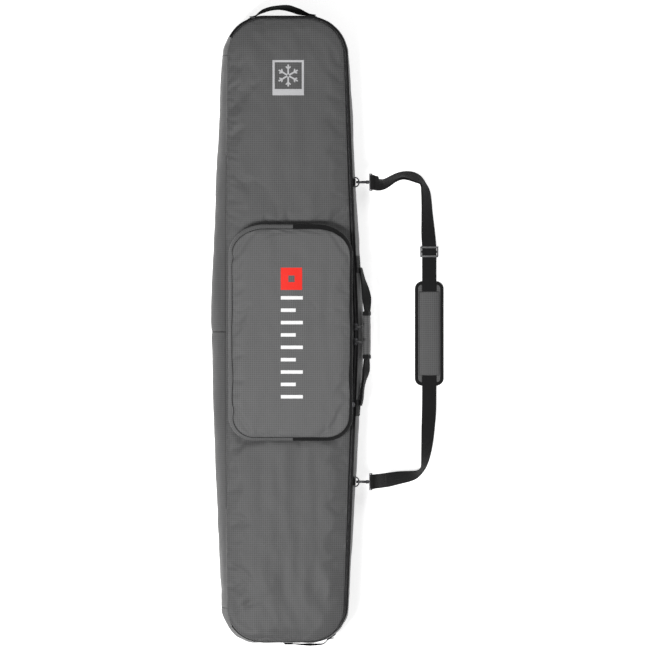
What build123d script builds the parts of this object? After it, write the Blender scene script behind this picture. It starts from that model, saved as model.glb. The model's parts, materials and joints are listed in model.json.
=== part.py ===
from build123d import *
import os
from math import atan2, cos, degrees, sin

# Padded snowboard bag lying on its back, in millimetres.
# X runs across the bag, +Y points to the nose and +Z up from the back panel's rest face.

os.makedirs("parts", exist_ok=True)

# driving dimensions of the body
waist_y = -5              # widest place, where the two halves of the side gusset are joined
nose_y = 802
tail_y = -801
back_z = 2                # thickness of the outer back panel
belly_z = 62              # height at which the gusset is widest
rim_z = 124               # upper edge of the gusset
shell = 1.5               # outer fabric with its backing
foam = 5
lining = 1
ply_gap = 0.5             # air between the loose plies of a wall
end_cut = 690             # the side gussets end here and the nose and tail gussets begin

# driving dimensions of the lid and its zip
lid_left = -159.5
lid_right = 166
lid_slope = 0.0402        # how fast the right edge runs in towards both ends
zip_width = 12            # both tapes and the coils between them
tape_t = 1.5
tape_gap = 0.6            # between the two tapes
zip_left_end = -140       # the zip stops at this X, at the left shoulders of nose and tail
skirt_z = rim_z + tape_t
lid_foam = 6
lid_top = 134

# driving dimensions of the front pocket
pocket_left = -152
pocket_right = 163
pocket_tail = -282
pocket_nose = 269
pocket_corner = 55
pocket_wall = 2
pocket_top = 174
flap_hinge_x = 11.5
flap_gap = 0.6

# driving dimensions of the webbing
narrow_webbing = 25
strap_width = 38
webbing_t = 2
strap_x = 361.5           # straight run of the shoulder strap
strap_z = 6               # underside of that run, which crosses the pad
strap_bend = 50


class Outline:
    """A six-sided plan outline with round corners. Both long sides bend a little at the waist."""

    def __init__(self, left, left_slope, right, right_slope, nose, tail, nose_r, tail_r):
        self.left = left
        self.left_slope = left_slope
        self.right = right
        self.right_slope = right_slope
        self.nose = nose
        self.tail = tail
        self.nose_r = nose_r
        self.tail_r = tail_r

    def left_at(self, y):
        return self.left + self.left_slope * abs(y - waist_y)

    def right_at(self, y):
        return self.right - self.right_slope * abs(y - waist_y)

    def inset(self, t):
        return Outline(self.left + t, self.left_slope, self.right - t, self.right_slope,
                       self.nose - t, self.tail + t, self.nose_r - t, self.tail_r - t)

    def line(self):
        points = [
            (self.left_at(self.nose), self.nose),
            (self.left, waist_y),
            (self.left_at(self.tail), self.tail),
            (self.right_at(self.tail), self.tail),
            (self.right, waist_y),
            (self.right_at(self.nose), self.nose),
        ]
        radii = [self.nose_r, 0, self.tail_r, self.tail_r, 0, self.nose_r]
        return FilletPolyline(points, radius=radii, close=True)


base = Outline(-176, 0.035, 168, 0.045, 786, -785, 86, 76)
belly = Outline(-198, 0.038, 191, 0.050, nose_y, tail_y, 100, 90)
rim = Outline(-164, 0.002, lid_right + zip_width, lid_slope, nose_y, tail_y, 100, 90)


def lid_points(grow):
    """Corners and radii of the lid's outline, moved outwards by grow."""
    right_end = lid_right - lid_slope * (nose_y - waist_y)
    points = [
        (lid_left - grow, nose_y - zip_width + grow),
        (lid_left - grow, tail_y + zip_width - grow),
        (right_end + grow, tail_y + zip_width - grow),
        (lid_right + grow, waist_y),
        (right_end + grow, nose_y - zip_width + grow),
    ]
    nose_r = rim.nose_r - zip_width + grow
    tail_r = rim.tail_r - zip_width + grow
    return points, [nose_r, tail_r, tail_r, 0, nose_r]


def lid_outline(grow):
    points, radii = lid_points(grow)
    return FilletPolyline(points, radius=radii, close=True)


def bag_form(inset):
    """The closed form of the body between the back panel and the rim, inset on all sides."""
    with BuildPart() as form:
        for outline, z in ((base, back_z), (belly, belly_z), (rim, rim_z)):
            with BuildSketch(Plane.XY.offset(z)):
                with BuildLine():
                    outline.inset(inset).line()
                make_face()
        loft(ruled=True)
    return form.part


def gusset_x(side, y, z):
    """X of the gusset's outer face at the height z, between the belly and the rim."""
    share = (z - belly_z) / (rim_z - belly_z)
    if side > 0:
        return belly.right_at(y) + share * (rim.right_at(y) - belly.right_at(y))
    return belly.left_at(y) + share * (rim.left_at(y) - belly.left_at(y))


def save(name, part):
    part.label = name
    export_step(part, f"parts/{name}.step")


# ---------------------------------------------------------------- body

with BuildPart() as back_panel:
    with BuildSketch():
        with BuildLine():
            base.line()
        make_face()
    extrude(amount=back_z)
save("back_panel", back_panel.part)

outer_form = bag_form(0)
shell_hollow = bag_form(shell)
panels = {
    "left_gusset_upper": ((-400, waist_y), (0, end_cut)),
    "left_gusset_lower": ((-400, -end_cut), (0, waist_y)),
    "right_gusset": ((0, -end_cut), (400, end_cut)),
    "nose_gusset": ((-400, end_cut), (400, 900)),
    "tail_gusset": ((-400, -900), (400, -end_cut)),
}
for panel_name, (low, high) in panels.items():
    with BuildPart() as panel:
        add(outer_form)
        add(shell_hollow, mode=Mode.SUBTRACT)
        with BuildSketch():
            with BuildLine():
                Polyline(low, (high[0], low[1]), high, (low[0], high[1]), close=True)
            make_face()
        extrude(amount=lid_top, mode=Mode.INTERSECT)
    save(panel_name, panel.part)

# loose plies inside the shell: foam, then lining, over the walls and over the back panel
foam_inset = shell + ply_gap
lining_inset = foam_inset + foam + ply_gap
back_foam_top = back_z + foam
back_lining_top = back_foam_top + lining
wall_low = back_lining_top + ply_gap
wall_high = rim_z - 2


def wall_ply(inset, thickness):
    with BuildPart() as ply:
        add(bag_form(inset))
        add(bag_form(inset + thickness), mode=Mode.SUBTRACT)
        with BuildSketch(Plane.XY.offset(wall_low)):
            Rectangle(800, 2000)
        extrude(amount=wall_high - wall_low, mode=Mode.INTERSECT)
    return ply.part


save("gusset_padding", wall_ply(foam_inset, foam))
save("gusset_lining", wall_ply(lining_inset, lining))


def floor_ply(low, high):
    with BuildPart() as ply:
        with BuildSketch(Plane.XY.offset(low)):
            with BuildLine():
                base.inset(foam_inset).line()
            make_face()
        extrude(amount=high - low)
    return ply.part


save("back_padding", floor_ply(back_z, back_foam_top))
save("back_lining", floor_ply(back_foam_top, back_lining_top))

# ---------------------------------------------------------------- main zip

coil_width = 1.5
coil_h = 1.5
body_tape_grow = zip_width / 2 + tape_gap / 2
lid_tape_grow = zip_width / 2 - tape_gap / 2


def keep_zip_side(low, high):
    """Cuts the part being built back to the zip's stretch, right of its two left ends."""
    with BuildSketch(Plane.XY.offset(low)) as zip_side:
        with Locations((zip_left_end, 0)):
            Rectangle(600, 2000, align=(Align.MIN, Align.CENTER))
    extrude(zip_side.sketch, amount=high - low, mode=Mode.INTERSECT)


def lid_ring(outer_grow, inner_grow, low, high):
    with BuildPart() as ring:
        with BuildSketch(Plane.XY.offset(low)):
            with BuildLine():
                lid_outline(outer_grow)
            make_face()
            with BuildLine():
                lid_outline(inner_grow)
            make_face(mode=Mode.SUBTRACT)
        extrude(amount=high - low)
        keep_zip_side(low, high)
    return ring.part


with BuildPart() as main_zip_body_tape:
    with BuildSketch(Plane.XY.offset(rim_z)):
        with BuildLine():
            rim.line()
        make_face()
        with BuildLine():
            lid_outline(body_tape_grow)
        make_face(mode=Mode.SUBTRACT)
    extrude(amount=tape_t)
    keep_zip_side(rim_z, skirt_z)
save("main_zip_body_tape", main_zip_body_tape.part)
save("main_zip_body_coil", lid_ring(body_tape_grow + coil_width, body_tape_grow, skirt_z, skirt_z + coil_h))
save("main_zip_lid_tape", lid_ring(lid_tape_grow, -4, rim_z, skirt_z))
save("main_zip_lid_coil", lid_ring(lid_tape_grow, lid_tape_grow - coil_width, skirt_z, skirt_z + coil_h))

# ---------------------------------------------------------------- lid


def lid_plate(inset, low, high):
    with BuildPart() as plate:
        with BuildSketch(Plane.XY.offset(low)):
            with BuildLine():
                lid_outline(-inset)
            make_face()
        extrude(amount=high - low)
    return plate.part


lid_lining_top = skirt_z + lining
lid_foam_top = lid_lining_top + lid_foam
with BuildPart() as front_panel:
    with BuildSketch(Plane.XY.offset(skirt_z)):
        with BuildLine():
            lid_outline(0)
        make_face()
    extrude(amount=lid_top - skirt_z)
    with BuildSketch(Plane.XY.offset(skirt_z)):
        with BuildLine():
            lid_outline(-shell)
        make_face()
    extrude(amount=lid_foam_top - skirt_z, mode=Mode.SUBTRACT)
save("front_panel", front_panel.part)
save("front_lining", lid_plate(shell + ply_gap, skirt_z, lid_lining_top))
save("front_padding", lid_plate(shell + ply_gap, lid_lining_top, lid_foam_top))

# ---------------------------------------------------------------- front pocket

pocket_width = pocket_right - pocket_left
pocket_length = pocket_nose - pocket_tail
pocket_x = (pocket_left + pocket_right) / 2
pocket_y = (pocket_nose + pocket_tail) / 2
pocket_zip_z = 156        # lower edge of the pocket's zip
pocket_tape = 5
pocket_plate = 2


def pocket_ring(side, low, high, thickness=pocket_wall):
    """The wall of the pocket on one side of the flap's hinge line."""
    with BuildPart() as ring:
        with BuildSketch(Plane.XY.offset(low)):
            with Locations((pocket_x, pocket_y)):
                RectangleRounded(pocket_width, pocket_length, pocket_corner)
                RectangleRounded(pocket_width - 2 * thickness, pocket_length - 2 * thickness,
                                 pocket_corner - thickness, mode=Mode.SUBTRACT)
            keep_pocket_side(side)
        extrude(amount=high - low)
    return ring.part


def keep_pocket_side(side):
    with Locations((flap_hinge_x + side * flap_gap / 2, pocket_y)):
        Rectangle(400, 800, align=(Align.MIN if side > 0 else Align.MAX, Align.CENTER), mode=Mode.INTERSECT)


flap_low = pocket_zip_z + 2 * pocket_tape + flap_gap
plate_low = pocket_top - pocket_plate
save("pocket_gusset_left", pocket_ring(-1, lid_top, plate_low))
save("pocket_gusset_right", pocket_ring(1, lid_top, pocket_zip_z))
save("pocket_zip_lower_tape", pocket_ring(1, pocket_zip_z, pocket_zip_z + pocket_tape))
save("pocket_zip_upper_tape", pocket_ring(1, pocket_zip_z + pocket_tape + flap_gap, flap_low))

with BuildPart() as pocket_face:
    with BuildSketch(Plane.XY.offset(plate_low)):
        with Locations((pocket_x, pocket_y)):
            RectangleRounded(pocket_width, pocket_length, pocket_corner)
        keep_pocket_side(-1)
    extrude(amount=pocket_plate)
save("pocket_face", pocket_face.part)

with BuildPart() as pocket_flap:
    with BuildSketch(Plane.XY.offset(plate_low)):
        with Locations((pocket_x, pocket_y)):
            RectangleRounded(pocket_width, pocket_length, pocket_corner)
        keep_pocket_side(1)
    extrude(amount=pocket_plate)
    add(pocket_ring(1, flap_low, plate_low))
save("pocket_flap", pocket_flap.part)

# the pocket's slider straddles the tape on the right wall
pocket_slider_y = -190
pocket_slider_size = (14, 9)
slider_post_y = 4.5       # from the slider's middle to each post of its bridge
slider_post = (2, 3)
pocket_tab = (1.8, 17)    # the pocket puller's thickness and length
pocket_zip_mid = pocket_zip_z + pocket_tape + flap_gap / 2
pocket_slider_x = pocket_right + 0.8
pocket_bridge_x = pocket_slider_x + 4.2
slider_t = 2
bridge_r = 1.1
puller_bore = bridge_r + 0.1
puller_knuckle_r = 2.2
knuckle_reach = 1.8       # a puller's tab starts this far from the bridge's axis
puller_half = 2           # half of the pocket puller's width

with BuildPart() as pocket_slider:
    with BuildSketch(Plane.YZ.offset(pocket_slider_x)):
        with Locations((pocket_slider_y, pocket_zip_mid)):
            RectangleRounded(*pocket_slider_size, 2)
    extrude(amount=slider_t)
    for end in (-1, 1):
        with BuildSketch(Plane.YZ.offset(pocket_slider_x + slider_t)):
            with Locations((pocket_slider_y + end * slider_post_y, pocket_zip_mid)):
                Rectangle(*slider_post)
        extrude(amount=pocket_bridge_x + bridge_r - pocket_slider_x - slider_t)
    with BuildSketch(Plane.XZ.offset(-pocket_slider_y)):
        with Locations((pocket_bridge_x, pocket_zip_mid)):
            Circle(bridge_r)
    extrude(amount=4, both=True)
save("pocket_slider", pocket_slider.part)

# a knuckle round the bridge, with a short tab that hangs from it
with BuildPart() as pocket_puller:
    with BuildSketch(Plane.XZ.offset(-pocket_slider_y)):
        with Locations((pocket_bridge_x, pocket_zip_mid)):
            Circle(puller_knuckle_r)
        with Locations((pocket_bridge_x, pocket_zip_mid - knuckle_reach)):
            Rectangle(*pocket_tab, align=(Align.CENTER, Align.MAX))
    extrude(amount=puller_half, both=True)
    with BuildSketch(Plane.XZ.offset(-pocket_slider_y)):
        with Locations((pocket_bridge_x, pocket_zip_mid)):
            Circle(puller_bore)
    extrude(amount=puller_half, both=True, mode=Mode.SUBTRACT)
save("pocket_puller", pocket_puller.part)

# ---------------------------------------------------------------- main sliders

coil_top = skirt_z + coil_h
slider_z = coil_top + 0.4
bridge_z = slider_z + slider_t + 3.2
zip_tilt = degrees(atan2(lid_slope, 1))
slider_size = (18, 11)
main_post_x = 5.5
main_post = (2.2, 3)
main_puller_half = 2.5
main_sliders = {"upper": (8, 1, 12), "lower": (-30, -1, 17)}    # Y, way out and puller length


def zip_plane(y, way, z):
    """On the zip's centre line: x_dir runs along the zip towards way's end, z_dir points up."""
    x = lid_right + zip_width / 2 - lid_slope * abs(y - waist_y)
    along = Vector(0, 1, 0).rotate(Axis.Z, way * zip_tilt)
    return Plane(origin=(x, y, z), x_dir=along, z_dir=(0, 0, 1))


for slider_name, (y, way, puller_length) in main_sliders.items():
    with BuildPart() as slider:
        with BuildSketch(zip_plane(y, way, slider_z)):
            RectangleRounded(*slider_size, 3)
        extrude(amount=slider_t)
        for end in (-1, 1):
            with BuildSketch(zip_plane(y, way, slider_z - 1)):
                with Locations((0, end * 4.6)):
                    Rectangle(12, 1.4)
            extrude(amount=1)
            with BuildSketch(zip_plane(y, way, slider_z + slider_t)):
                with Locations((end * main_post_x, 0)):
                    Rectangle(*main_post)
            extrude(amount=bridge_z + bridge_r - slider_z - slider_t)
        bridge = zip_plane(y, way, bridge_z)
        with BuildSketch(Plane(origin=bridge.origin, x_dir=(0, 0, 1), z_dir=bridge.x_dir)):
            Circle(bridge_r)
        extrude(amount=5, both=True)
    save(f"main_slider_{slider_name}", slider.part)

    with BuildPart() as puller:
        across = Plane(origin=bridge.origin, x_dir=bridge.y_dir * -1, z_dir=bridge.x_dir)
        out = Plane(origin=bridge.origin, x_dir=bridge.y_dir, z_dir=bridge.x_dir)
        side = out if out.x_dir.X > 0 else across
        with BuildSketch(side):
            Circle(puller_knuckle_r)
            with Locations((knuckle_reach, 0)):
                Rectangle(puller_length, 2, align=(Align.MIN, Align.CENTER))
        extrude(amount=main_puller_half, both=True)
        with BuildSketch(side):
            Circle(puller_bore)
        extrude(amount=main_puller_half, both=True, mode=Mode.SUBTRACT)
    save(f"main_puller_{slider_name}", puller.part)

# the zip's two end stops, at the left shoulders
end_stop_x = zip_left_end + 50
end_stop_inset = 4
end_stop_size = (9, 3)
end_stop_h = 2
with BuildPart() as main_zip_end_stops:
    for end_y, inward in ((nose_y, -1), (tail_y, 1)):
        with BuildSketch(Plane.XY.offset(skirt_z + coil_h)):
            with Locations((end_stop_x, end_y + inward * end_stop_inset)):
                Rectangle(*end_stop_size)
        extrude(amount=end_stop_h)
save("main_zip_end_stops", main_zip_end_stops.part)

# ---------------------------------------------------------------- carry handle

grip_low, grip_high = -64, 38
cuff = 10
grip_clear = 40           # straight webbing beyond each end of the grip
handle_x = 201
handle_z = 99             # middle of the webbing's width
handle_root_x = 182.5
handle_ends = (150, -185)
patch_w, patch_h, patch_t = 42, 30, 1.6
patch_lift = 0.6          # a patch clears the slightly twisted gusset by this much
patch_turn = 2.6          # the side runs in towards each end by this angle
patch_reach = 12          # from the end of the webbing to the middle of its patch

with BuildPart() as carry_handle_patches:
    for end_y, way in zip(handle_ends, (1, -1)):
        y = end_y + way * patch_reach
        foot = Vector(gusset_x(1, y, handle_z), y, handle_z)
        lean = atan2(belly.right_at(y) - rim.right_at(y), rim_z - belly_z)
        outward = Vector(cos(lean), 0, sin(lean)).rotate(Axis.Z, way * patch_turn)
        along = Vector(0, 1, 0).rotate(Axis.Z, way * patch_turn)
        with BuildSketch(Plane(origin=foot + outward * patch_lift, x_dir=along, z_dir=outward)):
            RectangleRounded(patch_w, patch_h, 2)
        extrude(amount=patch_t)
save("carry_handle_patches", carry_handle_patches.part)

ply_pitch = webbing_t + 0.5
ply_spread = 2.5          # more room between the plies at the lower patch
handle_bend = 60

# two webbing plies run from patch to patch and separate a little at the lower end
with BuildPart() as carry_handle_webbing:
    for ply, low_spread in ((0, 0), (1, ply_spread)):
        shift = ply * ply_pitch
        with BuildSketch(Plane.XY.offset(handle_z - narrow_webbing / 2)):
            with BuildLine() as route:
                FilletPolyline(
                    (handle_root_x + shift, handle_ends[0]),
                    (handle_x + shift, grip_high + grip_clear),
                    (handle_x + shift, grip_low - grip_clear),
                    (handle_root_x + shift + low_spread, handle_ends[1]),
                    radius=handle_bend,
                )
            trace(line_width=webbing_t)
        extrude(amount=narrow_webbing)
save("carry_handle_webbing", carry_handle_webbing.part)

grip_mid_x = handle_x + ply_pitch / 2
grip_inner = (2 * webbing_t + 1.5, narrow_webbing + 1)
grip_size = (15, 32)
sleeve_corner = 5


def handle_sleeve(low, high, size):
    with BuildPart() as sleeve:
        with BuildSketch(Plane.XZ.offset(-low)):
            with Locations((grip_mid_x, handle_z)):
                RectangleRounded(*size, sleeve_corner)
                Rectangle(*grip_inner, mode=Mode.SUBTRACT)
        extrude(amount=low - high)
    return sleeve.part


save("carry_handle_wrap", handle_sleeve(grip_low, grip_high, grip_size))
cuff_size = (grip_size[0] + 2, grip_size[1] + 2)
save("carry_handle_cuff_upper", handle_sleeve(grip_high, grip_high + cuff, cuff_size))
save("carry_handle_cuff_lower", handle_sleeve(grip_low - cuff, grip_low, cuff_size))

# ---------------------------------------------------------------- end handles

end_handle_z = 86
root_gap = 8              # webbing that is free to bend before the loop begins
end_patch = 26
end_patch_lift = 0.5


def end_loop(name, x0, x1, wall_y, way, reach):
    """A grab loop of webbing on edge, and the two patches that it is sewn to."""
    bend = reach * 0.45
    slant = reach * 0.55
    with BuildPart() as loop:
        with BuildSketch(Plane.XY.offset(end_handle_z - narrow_webbing / 2)):
            with BuildLine():
                FilletPolyline(
                    (x0, wall_y + way * root_gap),
                    (x0 + slant, wall_y + way * reach),
                    (x1 - slant, wall_y + way * reach),
                    (x1, wall_y + way * root_gap),
                    radius=bend,
                )
            trace(line_width=webbing_t)
        extrude(amount=narrow_webbing)
    save(name, loop.part)
    with BuildPart() as patches:
        for x in (x0 - root_gap, x1 + root_gap):
            with BuildSketch(Plane.XZ.offset(-wall_y - way * end_patch_lift)):
                with Locations((x, end_handle_z)):
                    Rectangle(end_patch, narrow_webbing)
            extrude(amount=-way * webbing_t)
    save(f"{name}_patches", patches.part)


end_loop("nose_handle", -83, 52, nose_y, 1, 27)
end_loop("tail_handle", 10, 100, tail_y, -1, 13)

# ---------------------------------------------------------------- D-rings and snap hooks

ring_z = 114
ring_y = {"upper": 378, "lower": -388}
d_bar_x = 168
d_radius = 12
d_wire = 1.8
tab_width = 18
tab_knuckle_r = 3.2
hook_in_r = 7.5
hook_rod = 3.5
hook_half_t = 3.2
hook_left = 184
hook_right = 190
collar_end = 206
stem_r = 2
eye_x = 213
eye_bar_r = 1.8
eye_half = strap_width / 2 + 3
collar_start = hook_right + hook_in_r + 1
collar_r = 4.5
head_r = 3.2              # the swivel's head turns inside the hook's collar
head_bore_r = 3.7
head_bore = hook_in_r + 1.6
head_t = 2.2
mouth = (180.4, 8.6)      # the open side that the gate closes: its start and length
gate_slot = (188, 6.6)    # where the gate's root sits in the rod
gate_slot_half = 1.9
gate_size = (12.6, 2.8)
gate_start = 180.9
gate_half = 1.6
gate_pin_x = 192
gate_z = ring_z + hook_in_r + hook_rod / 2
gate_pin_r = 1.1
eye_start = collar_end + 0.6
eye_rod = 3

for place, y in ring_y.items():
    # a folded webbing tab comes out of the rim seam and holds the ring's straight bar
    with BuildPart() as tab:
        wall_x = gusset_x(1, y, ring_z - 3) + 0.8
        with BuildSketch(Plane.XZ.offset(-y)):
            with Locations((d_bar_x, ring_z)):
                Circle(tab_knuckle_r)
        extrude(amount=tab_width / 2, both=True)
        with BuildSketch(Plane.XZ.offset(-y)):
            with Locations(((wall_x + d_bar_x) / 2, ring_z)):
                Rectangle(d_bar_x - wall_x, 3)
        extrude(amount=tab_width / 2, both=True)
        with BuildSketch(Plane.XZ.offset(-y)):
            with Locations((d_bar_x, ring_z)):
                Circle(d_wire + 0.1)
        extrude(amount=tab_width, both=True, mode=Mode.SUBTRACT)
    save(f"d_ring_tab_{place}", tab.part)

    with BuildPart() as d_ring:
        with BuildLine() as wire:
            FilletPolyline(
                (d_bar_x, y - d_radius), (d_bar_x, y + d_radius),
                (d_bar_x + d_radius, y + d_radius), (d_bar_x + d_radius, y - d_radius),
                radius=[1.9, 1.9, d_radius - 1.95, d_radius - 1.95], close=True,
            )
        with BuildLine() as ring_line:
            add(wire.line.moved(Location((0, 0, ring_z))))
        with BuildSketch(Plane(origin=(d_bar_x, y, ring_z), x_dir=(1, 0, 0), z_dir=(0, 1, 0))):
            Circle(d_wire)
        sweep(path=ring_line.line)
    save(f"d_ring_{place}", d_ring.part)

    # snap hook: a long ring, open on top where the gate closes it, and a collar for the swivel
    with BuildPart() as hook:
        with BuildSketch(Plane.XZ.offset(-y)):
            with Locations(((hook_left + hook_right) / 2, ring_z)):
                SlotCenterToCenter(hook_right - hook_left, 2 * (hook_in_r + hook_rod))
                SlotCenterToCenter(hook_right - hook_left, 2 * hook_in_r, mode=Mode.SUBTRACT)
        extrude(amount=hook_half_t, both=True)
        with BuildSketch(Plane.YZ.offset(collar_start)):
            with Locations((y, ring_z)):
                Circle(collar_r)
        extrude(amount=collar_end - collar_start)
        with BuildSketch(Plane.YZ.offset(hook_right)):
            with Locations((y, ring_z)):
                Circle(head_bore_r)
        extrude(amount=head_bore, mode=Mode.SUBTRACT)
        with BuildSketch(Plane.YZ.offset(hook_right)):
            with Locations((y, ring_z)):
                Circle(stem_r + 0.1)
        extrude(amount=collar_end - hook_right, mode=Mode.SUBTRACT)
        with BuildSketch(Plane.XZ.offset(-y)):
            with Locations((mouth[0], ring_z + 5)):
                Rectangle(mouth[1], 10, align=(Align.MIN, Align.MIN))
        extrude(amount=5, both=True, mode=Mode.SUBTRACT)
        with BuildSketch(Plane.XZ.offset(-y)):
            with Locations((gate_slot[0], ring_z + 5)):
                Rectangle(gate_slot[1], 10, align=(Align.MIN, Align.MIN))
        extrude(amount=gate_slot_half, both=True, mode=Mode.SUBTRACT)
        with BuildSketch(Plane.XZ.offset(-y)):
            with Locations((gate_pin_x, gate_z)):
                Circle(gate_pin_r + 0.03)
        extrude(amount=5, both=True, mode=Mode.SUBTRACT)
    save(f"hook_{place}", hook.part)

    with BuildPart() as gate:
        with BuildSketch(Plane.XZ.offset(-y)):
            with Locations((gate_start, gate_z)):
                Rectangle(*gate_size, align=(Align.MIN, Align.CENTER))
        extrude(amount=gate_half, both=True)
        with BuildSketch(Plane.XZ.offset(-y)):
            with Locations((gate_pin_x, gate_z)):
                Circle(gate_pin_r + 0.1)
        extrude(amount=3, both=True, mode=Mode.SUBTRACT)
    save(f"hook_gate_{place}", gate.part)

    with BuildPart() as gate_pin:
        with BuildSketch(Plane.XZ.offset(-y)):
            with Locations((gate_pin_x, gate_z)):
                Circle(gate_pin_r)
        extrude(amount=hook_half_t, both=True)
    save(f"hook_gate_pin_{place}", gate_pin.part)

    # swivel: a headed stem, and the wide eye that the webbing is sewn round
    with BuildPart() as swivel:
        with BuildSketch(Plane.YZ.offset(hook_right + hook_in_r - 1.4)):
            with Locations((y, ring_z)):
                Circle(head_r)
        extrude(amount=head_t)
        with BuildSketch(Plane.YZ.offset(hook_right + hook_in_r)):
            with Locations((y, ring_z)):
                Circle(stem_r)
        extrude(amount=collar_end + 2 - hook_right - hook_in_r)
        with BuildSketch(Plane.XY.offset(ring_z - eye_bar_r)):
            with Locations(((eye_start + eye_x + eye_bar_r) / 2, y)):
                Rectangle(eye_x + eye_bar_r - eye_start, 2 * eye_half)
            with Locations(((eye_start + eye_rod + eye_x - eye_bar_r) / 2, y)):
                Rectangle(eye_x - eye_bar_r - eye_start - eye_rod, strap_width + 1, mode=Mode.SUBTRACT)
        extrude(amount=2 * eye_bar_r)
    save(f"hook_swivel_{place}", swivel.part)

# ---------------------------------------------------------------- shoulder strap

ramp_top_x = eye_x + eye_bar_r + 0.3
adjuster_y = 201
ramp_run = 78
ramp_bend = 9


def strap_ramp(y):
    """The stretch that comes down from the swivel's eye to the level of the straight run."""
    mid_z = strap_z + webbing_t / 2
    with BuildSketch(Plane.XZ.offset(-y)) as side_view:
        with BuildLine():
            FilletPolyline(
                (ramp_top_x, ring_z),
                (ramp_top_x + 12, ring_z),
                (ramp_top_x + ramp_run - 22, mid_z),
                (ramp_top_x + ramp_run, mid_z),
                radius=ramp_bend,
            )
        trace(line_width=webbing_t)
    extrude(side_view.sketch, amount=strap_width / 2, both=True)


def strap_half(y, cut):
    """Ramp, corner and straight run of one half of the strap, as flat webbing."""
    with BuildPart() as half:
        strap_ramp(y)
        with BuildSketch(Plane.XY.offset(strap_z)):
            with BuildLine():
                FilletPolyline((ramp_top_x + ramp_run, y), (strap_x, y), (strap_x, cut), radius=strap_bend)
            trace(line_width=strap_width)
        extrude(amount=webbing_t)
    return half.part


# the doubled upper strap meets the single lower strap inside the adjuster
save("strap_webbing_upper", strap_half(ring_y["upper"], adjuster_y))
save("strap_webbing_lower", strap_half(ring_y["lower"], adjuster_y))
print("strap: corner radius", strap_bend, "ramp radius", ramp_bend, "webbing thickness", webbing_t)

# tri-glide: side rails, two bars over the webbing and one under it
rail_x = strap_width / 2 + 2.6
rail_low, rail_w, rail_l = 1, 3.6, 28
bar_w, bar_t, bar_gap = 5, 3, 0.6
bar_y = (rail_l - bar_w) / 2
with BuildPart() as strap_adjuster:
    with BuildSketch(Plane.XY.offset(rail_low)):
        for side in (-1, 1):
            with Locations((strap_x + side * rail_x, adjuster_y)):
                Rectangle(rail_w, rail_l)
    extrude(amount=strap_z + webbing_t + bar_gap + bar_t - rail_low)
    with BuildSketch(Plane.XY.offset(strap_z + webbing_t + bar_gap)):
        for end in (-1, 1):
            with Locations((strap_x, adjuster_y + end * bar_y)):
                Rectangle(2 * rail_x, bar_w)
    extrude(amount=bar_t)
    with BuildSketch(Plane.XY.offset(strap_z - bar_gap - bar_t)):
        with Locations((strap_x, adjuster_y)):
            Rectangle(2 * rail_x, bar_w)
    extrude(amount=bar_t)
save("strap_adjuster", strap_adjuster.part)

pad_y = -9
pad_w, pad_l, pad_r = 74, 269, 12
binding_w = 8
pad_low = 0.3
pad_base_top = strap_z - 0.5
face_l = 207
face_top = strap_z + webbing_t + 3.2

with BuildPart() as shoulder_pad_base:
    with BuildSketch(Plane.XY.offset(pad_low)):
        with Locations((strap_x, pad_y)):
            RectangleRounded(pad_w - 2 * binding_w, pad_l - 2 * binding_w, pad_r - 4)
    extrude(amount=pad_base_top - pad_low)
save("shoulder_pad_base", shoulder_pad_base.part)

with BuildPart() as shoulder_pad_binding:
    with BuildSketch(Plane.XY.offset(pad_low)):
        with Locations((strap_x, pad_y)):
            RectangleRounded(pad_w, pad_l, pad_r)
            RectangleRounded(pad_w - 2 * binding_w, pad_l - 2 * binding_w, pad_r - 4, mode=Mode.SUBTRACT)
    extrude(amount=pad_base_top - pad_low)
save("shoulder_pad_binding", shoulder_pad_binding.part)

# the face panel is sewn down along both sides and leaves a tunnel for the webbing
with BuildPart() as shoulder_pad_face:
    with BuildSketch(Plane.XY.offset(pad_base_top)):
        with Locations((strap_x, pad_y)):
            Rectangle(pad_w - 2 * binding_w, face_l)
    extrude(amount=face_top - pad_base_top)
    with BuildSketch(Plane.XY.offset(pad_base_top)):
        with Locations((strap_x, pad_y)):
            Rectangle(strap_width + 2, face_l)
    extrude(amount=strap_z + webbing_t + 0.5 - pad_base_top, mode=Mode.SUBTRACT)
save("shoulder_pad_face", shoulder_pad_face.part)
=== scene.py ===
import json
import math

import bpy
import numpy as np
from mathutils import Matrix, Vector, noise
from mathutils.bvhtree import BVHTree

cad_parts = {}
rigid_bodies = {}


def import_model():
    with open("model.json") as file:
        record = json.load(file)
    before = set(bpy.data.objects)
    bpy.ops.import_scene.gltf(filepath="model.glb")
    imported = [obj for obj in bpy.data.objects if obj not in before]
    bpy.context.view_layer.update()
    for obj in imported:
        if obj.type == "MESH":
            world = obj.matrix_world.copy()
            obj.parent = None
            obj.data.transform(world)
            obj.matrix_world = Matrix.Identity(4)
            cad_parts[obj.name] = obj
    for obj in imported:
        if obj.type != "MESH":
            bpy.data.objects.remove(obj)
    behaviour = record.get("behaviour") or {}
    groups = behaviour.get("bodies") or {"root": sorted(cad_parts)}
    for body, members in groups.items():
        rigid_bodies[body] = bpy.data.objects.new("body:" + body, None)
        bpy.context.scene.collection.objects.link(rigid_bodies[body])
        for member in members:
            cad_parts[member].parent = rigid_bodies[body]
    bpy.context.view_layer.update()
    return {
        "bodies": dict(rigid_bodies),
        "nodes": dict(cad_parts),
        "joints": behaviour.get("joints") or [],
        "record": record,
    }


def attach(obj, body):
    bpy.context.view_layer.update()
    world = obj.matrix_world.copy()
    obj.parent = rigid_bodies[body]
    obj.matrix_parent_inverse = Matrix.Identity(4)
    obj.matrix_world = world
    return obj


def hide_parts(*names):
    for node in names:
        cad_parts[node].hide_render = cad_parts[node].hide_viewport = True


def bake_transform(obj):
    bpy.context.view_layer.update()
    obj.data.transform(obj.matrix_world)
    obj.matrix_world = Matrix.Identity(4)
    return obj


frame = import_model()
MM = 0.001

# ---------------------------------------------------------------- camera, light and floor

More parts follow.
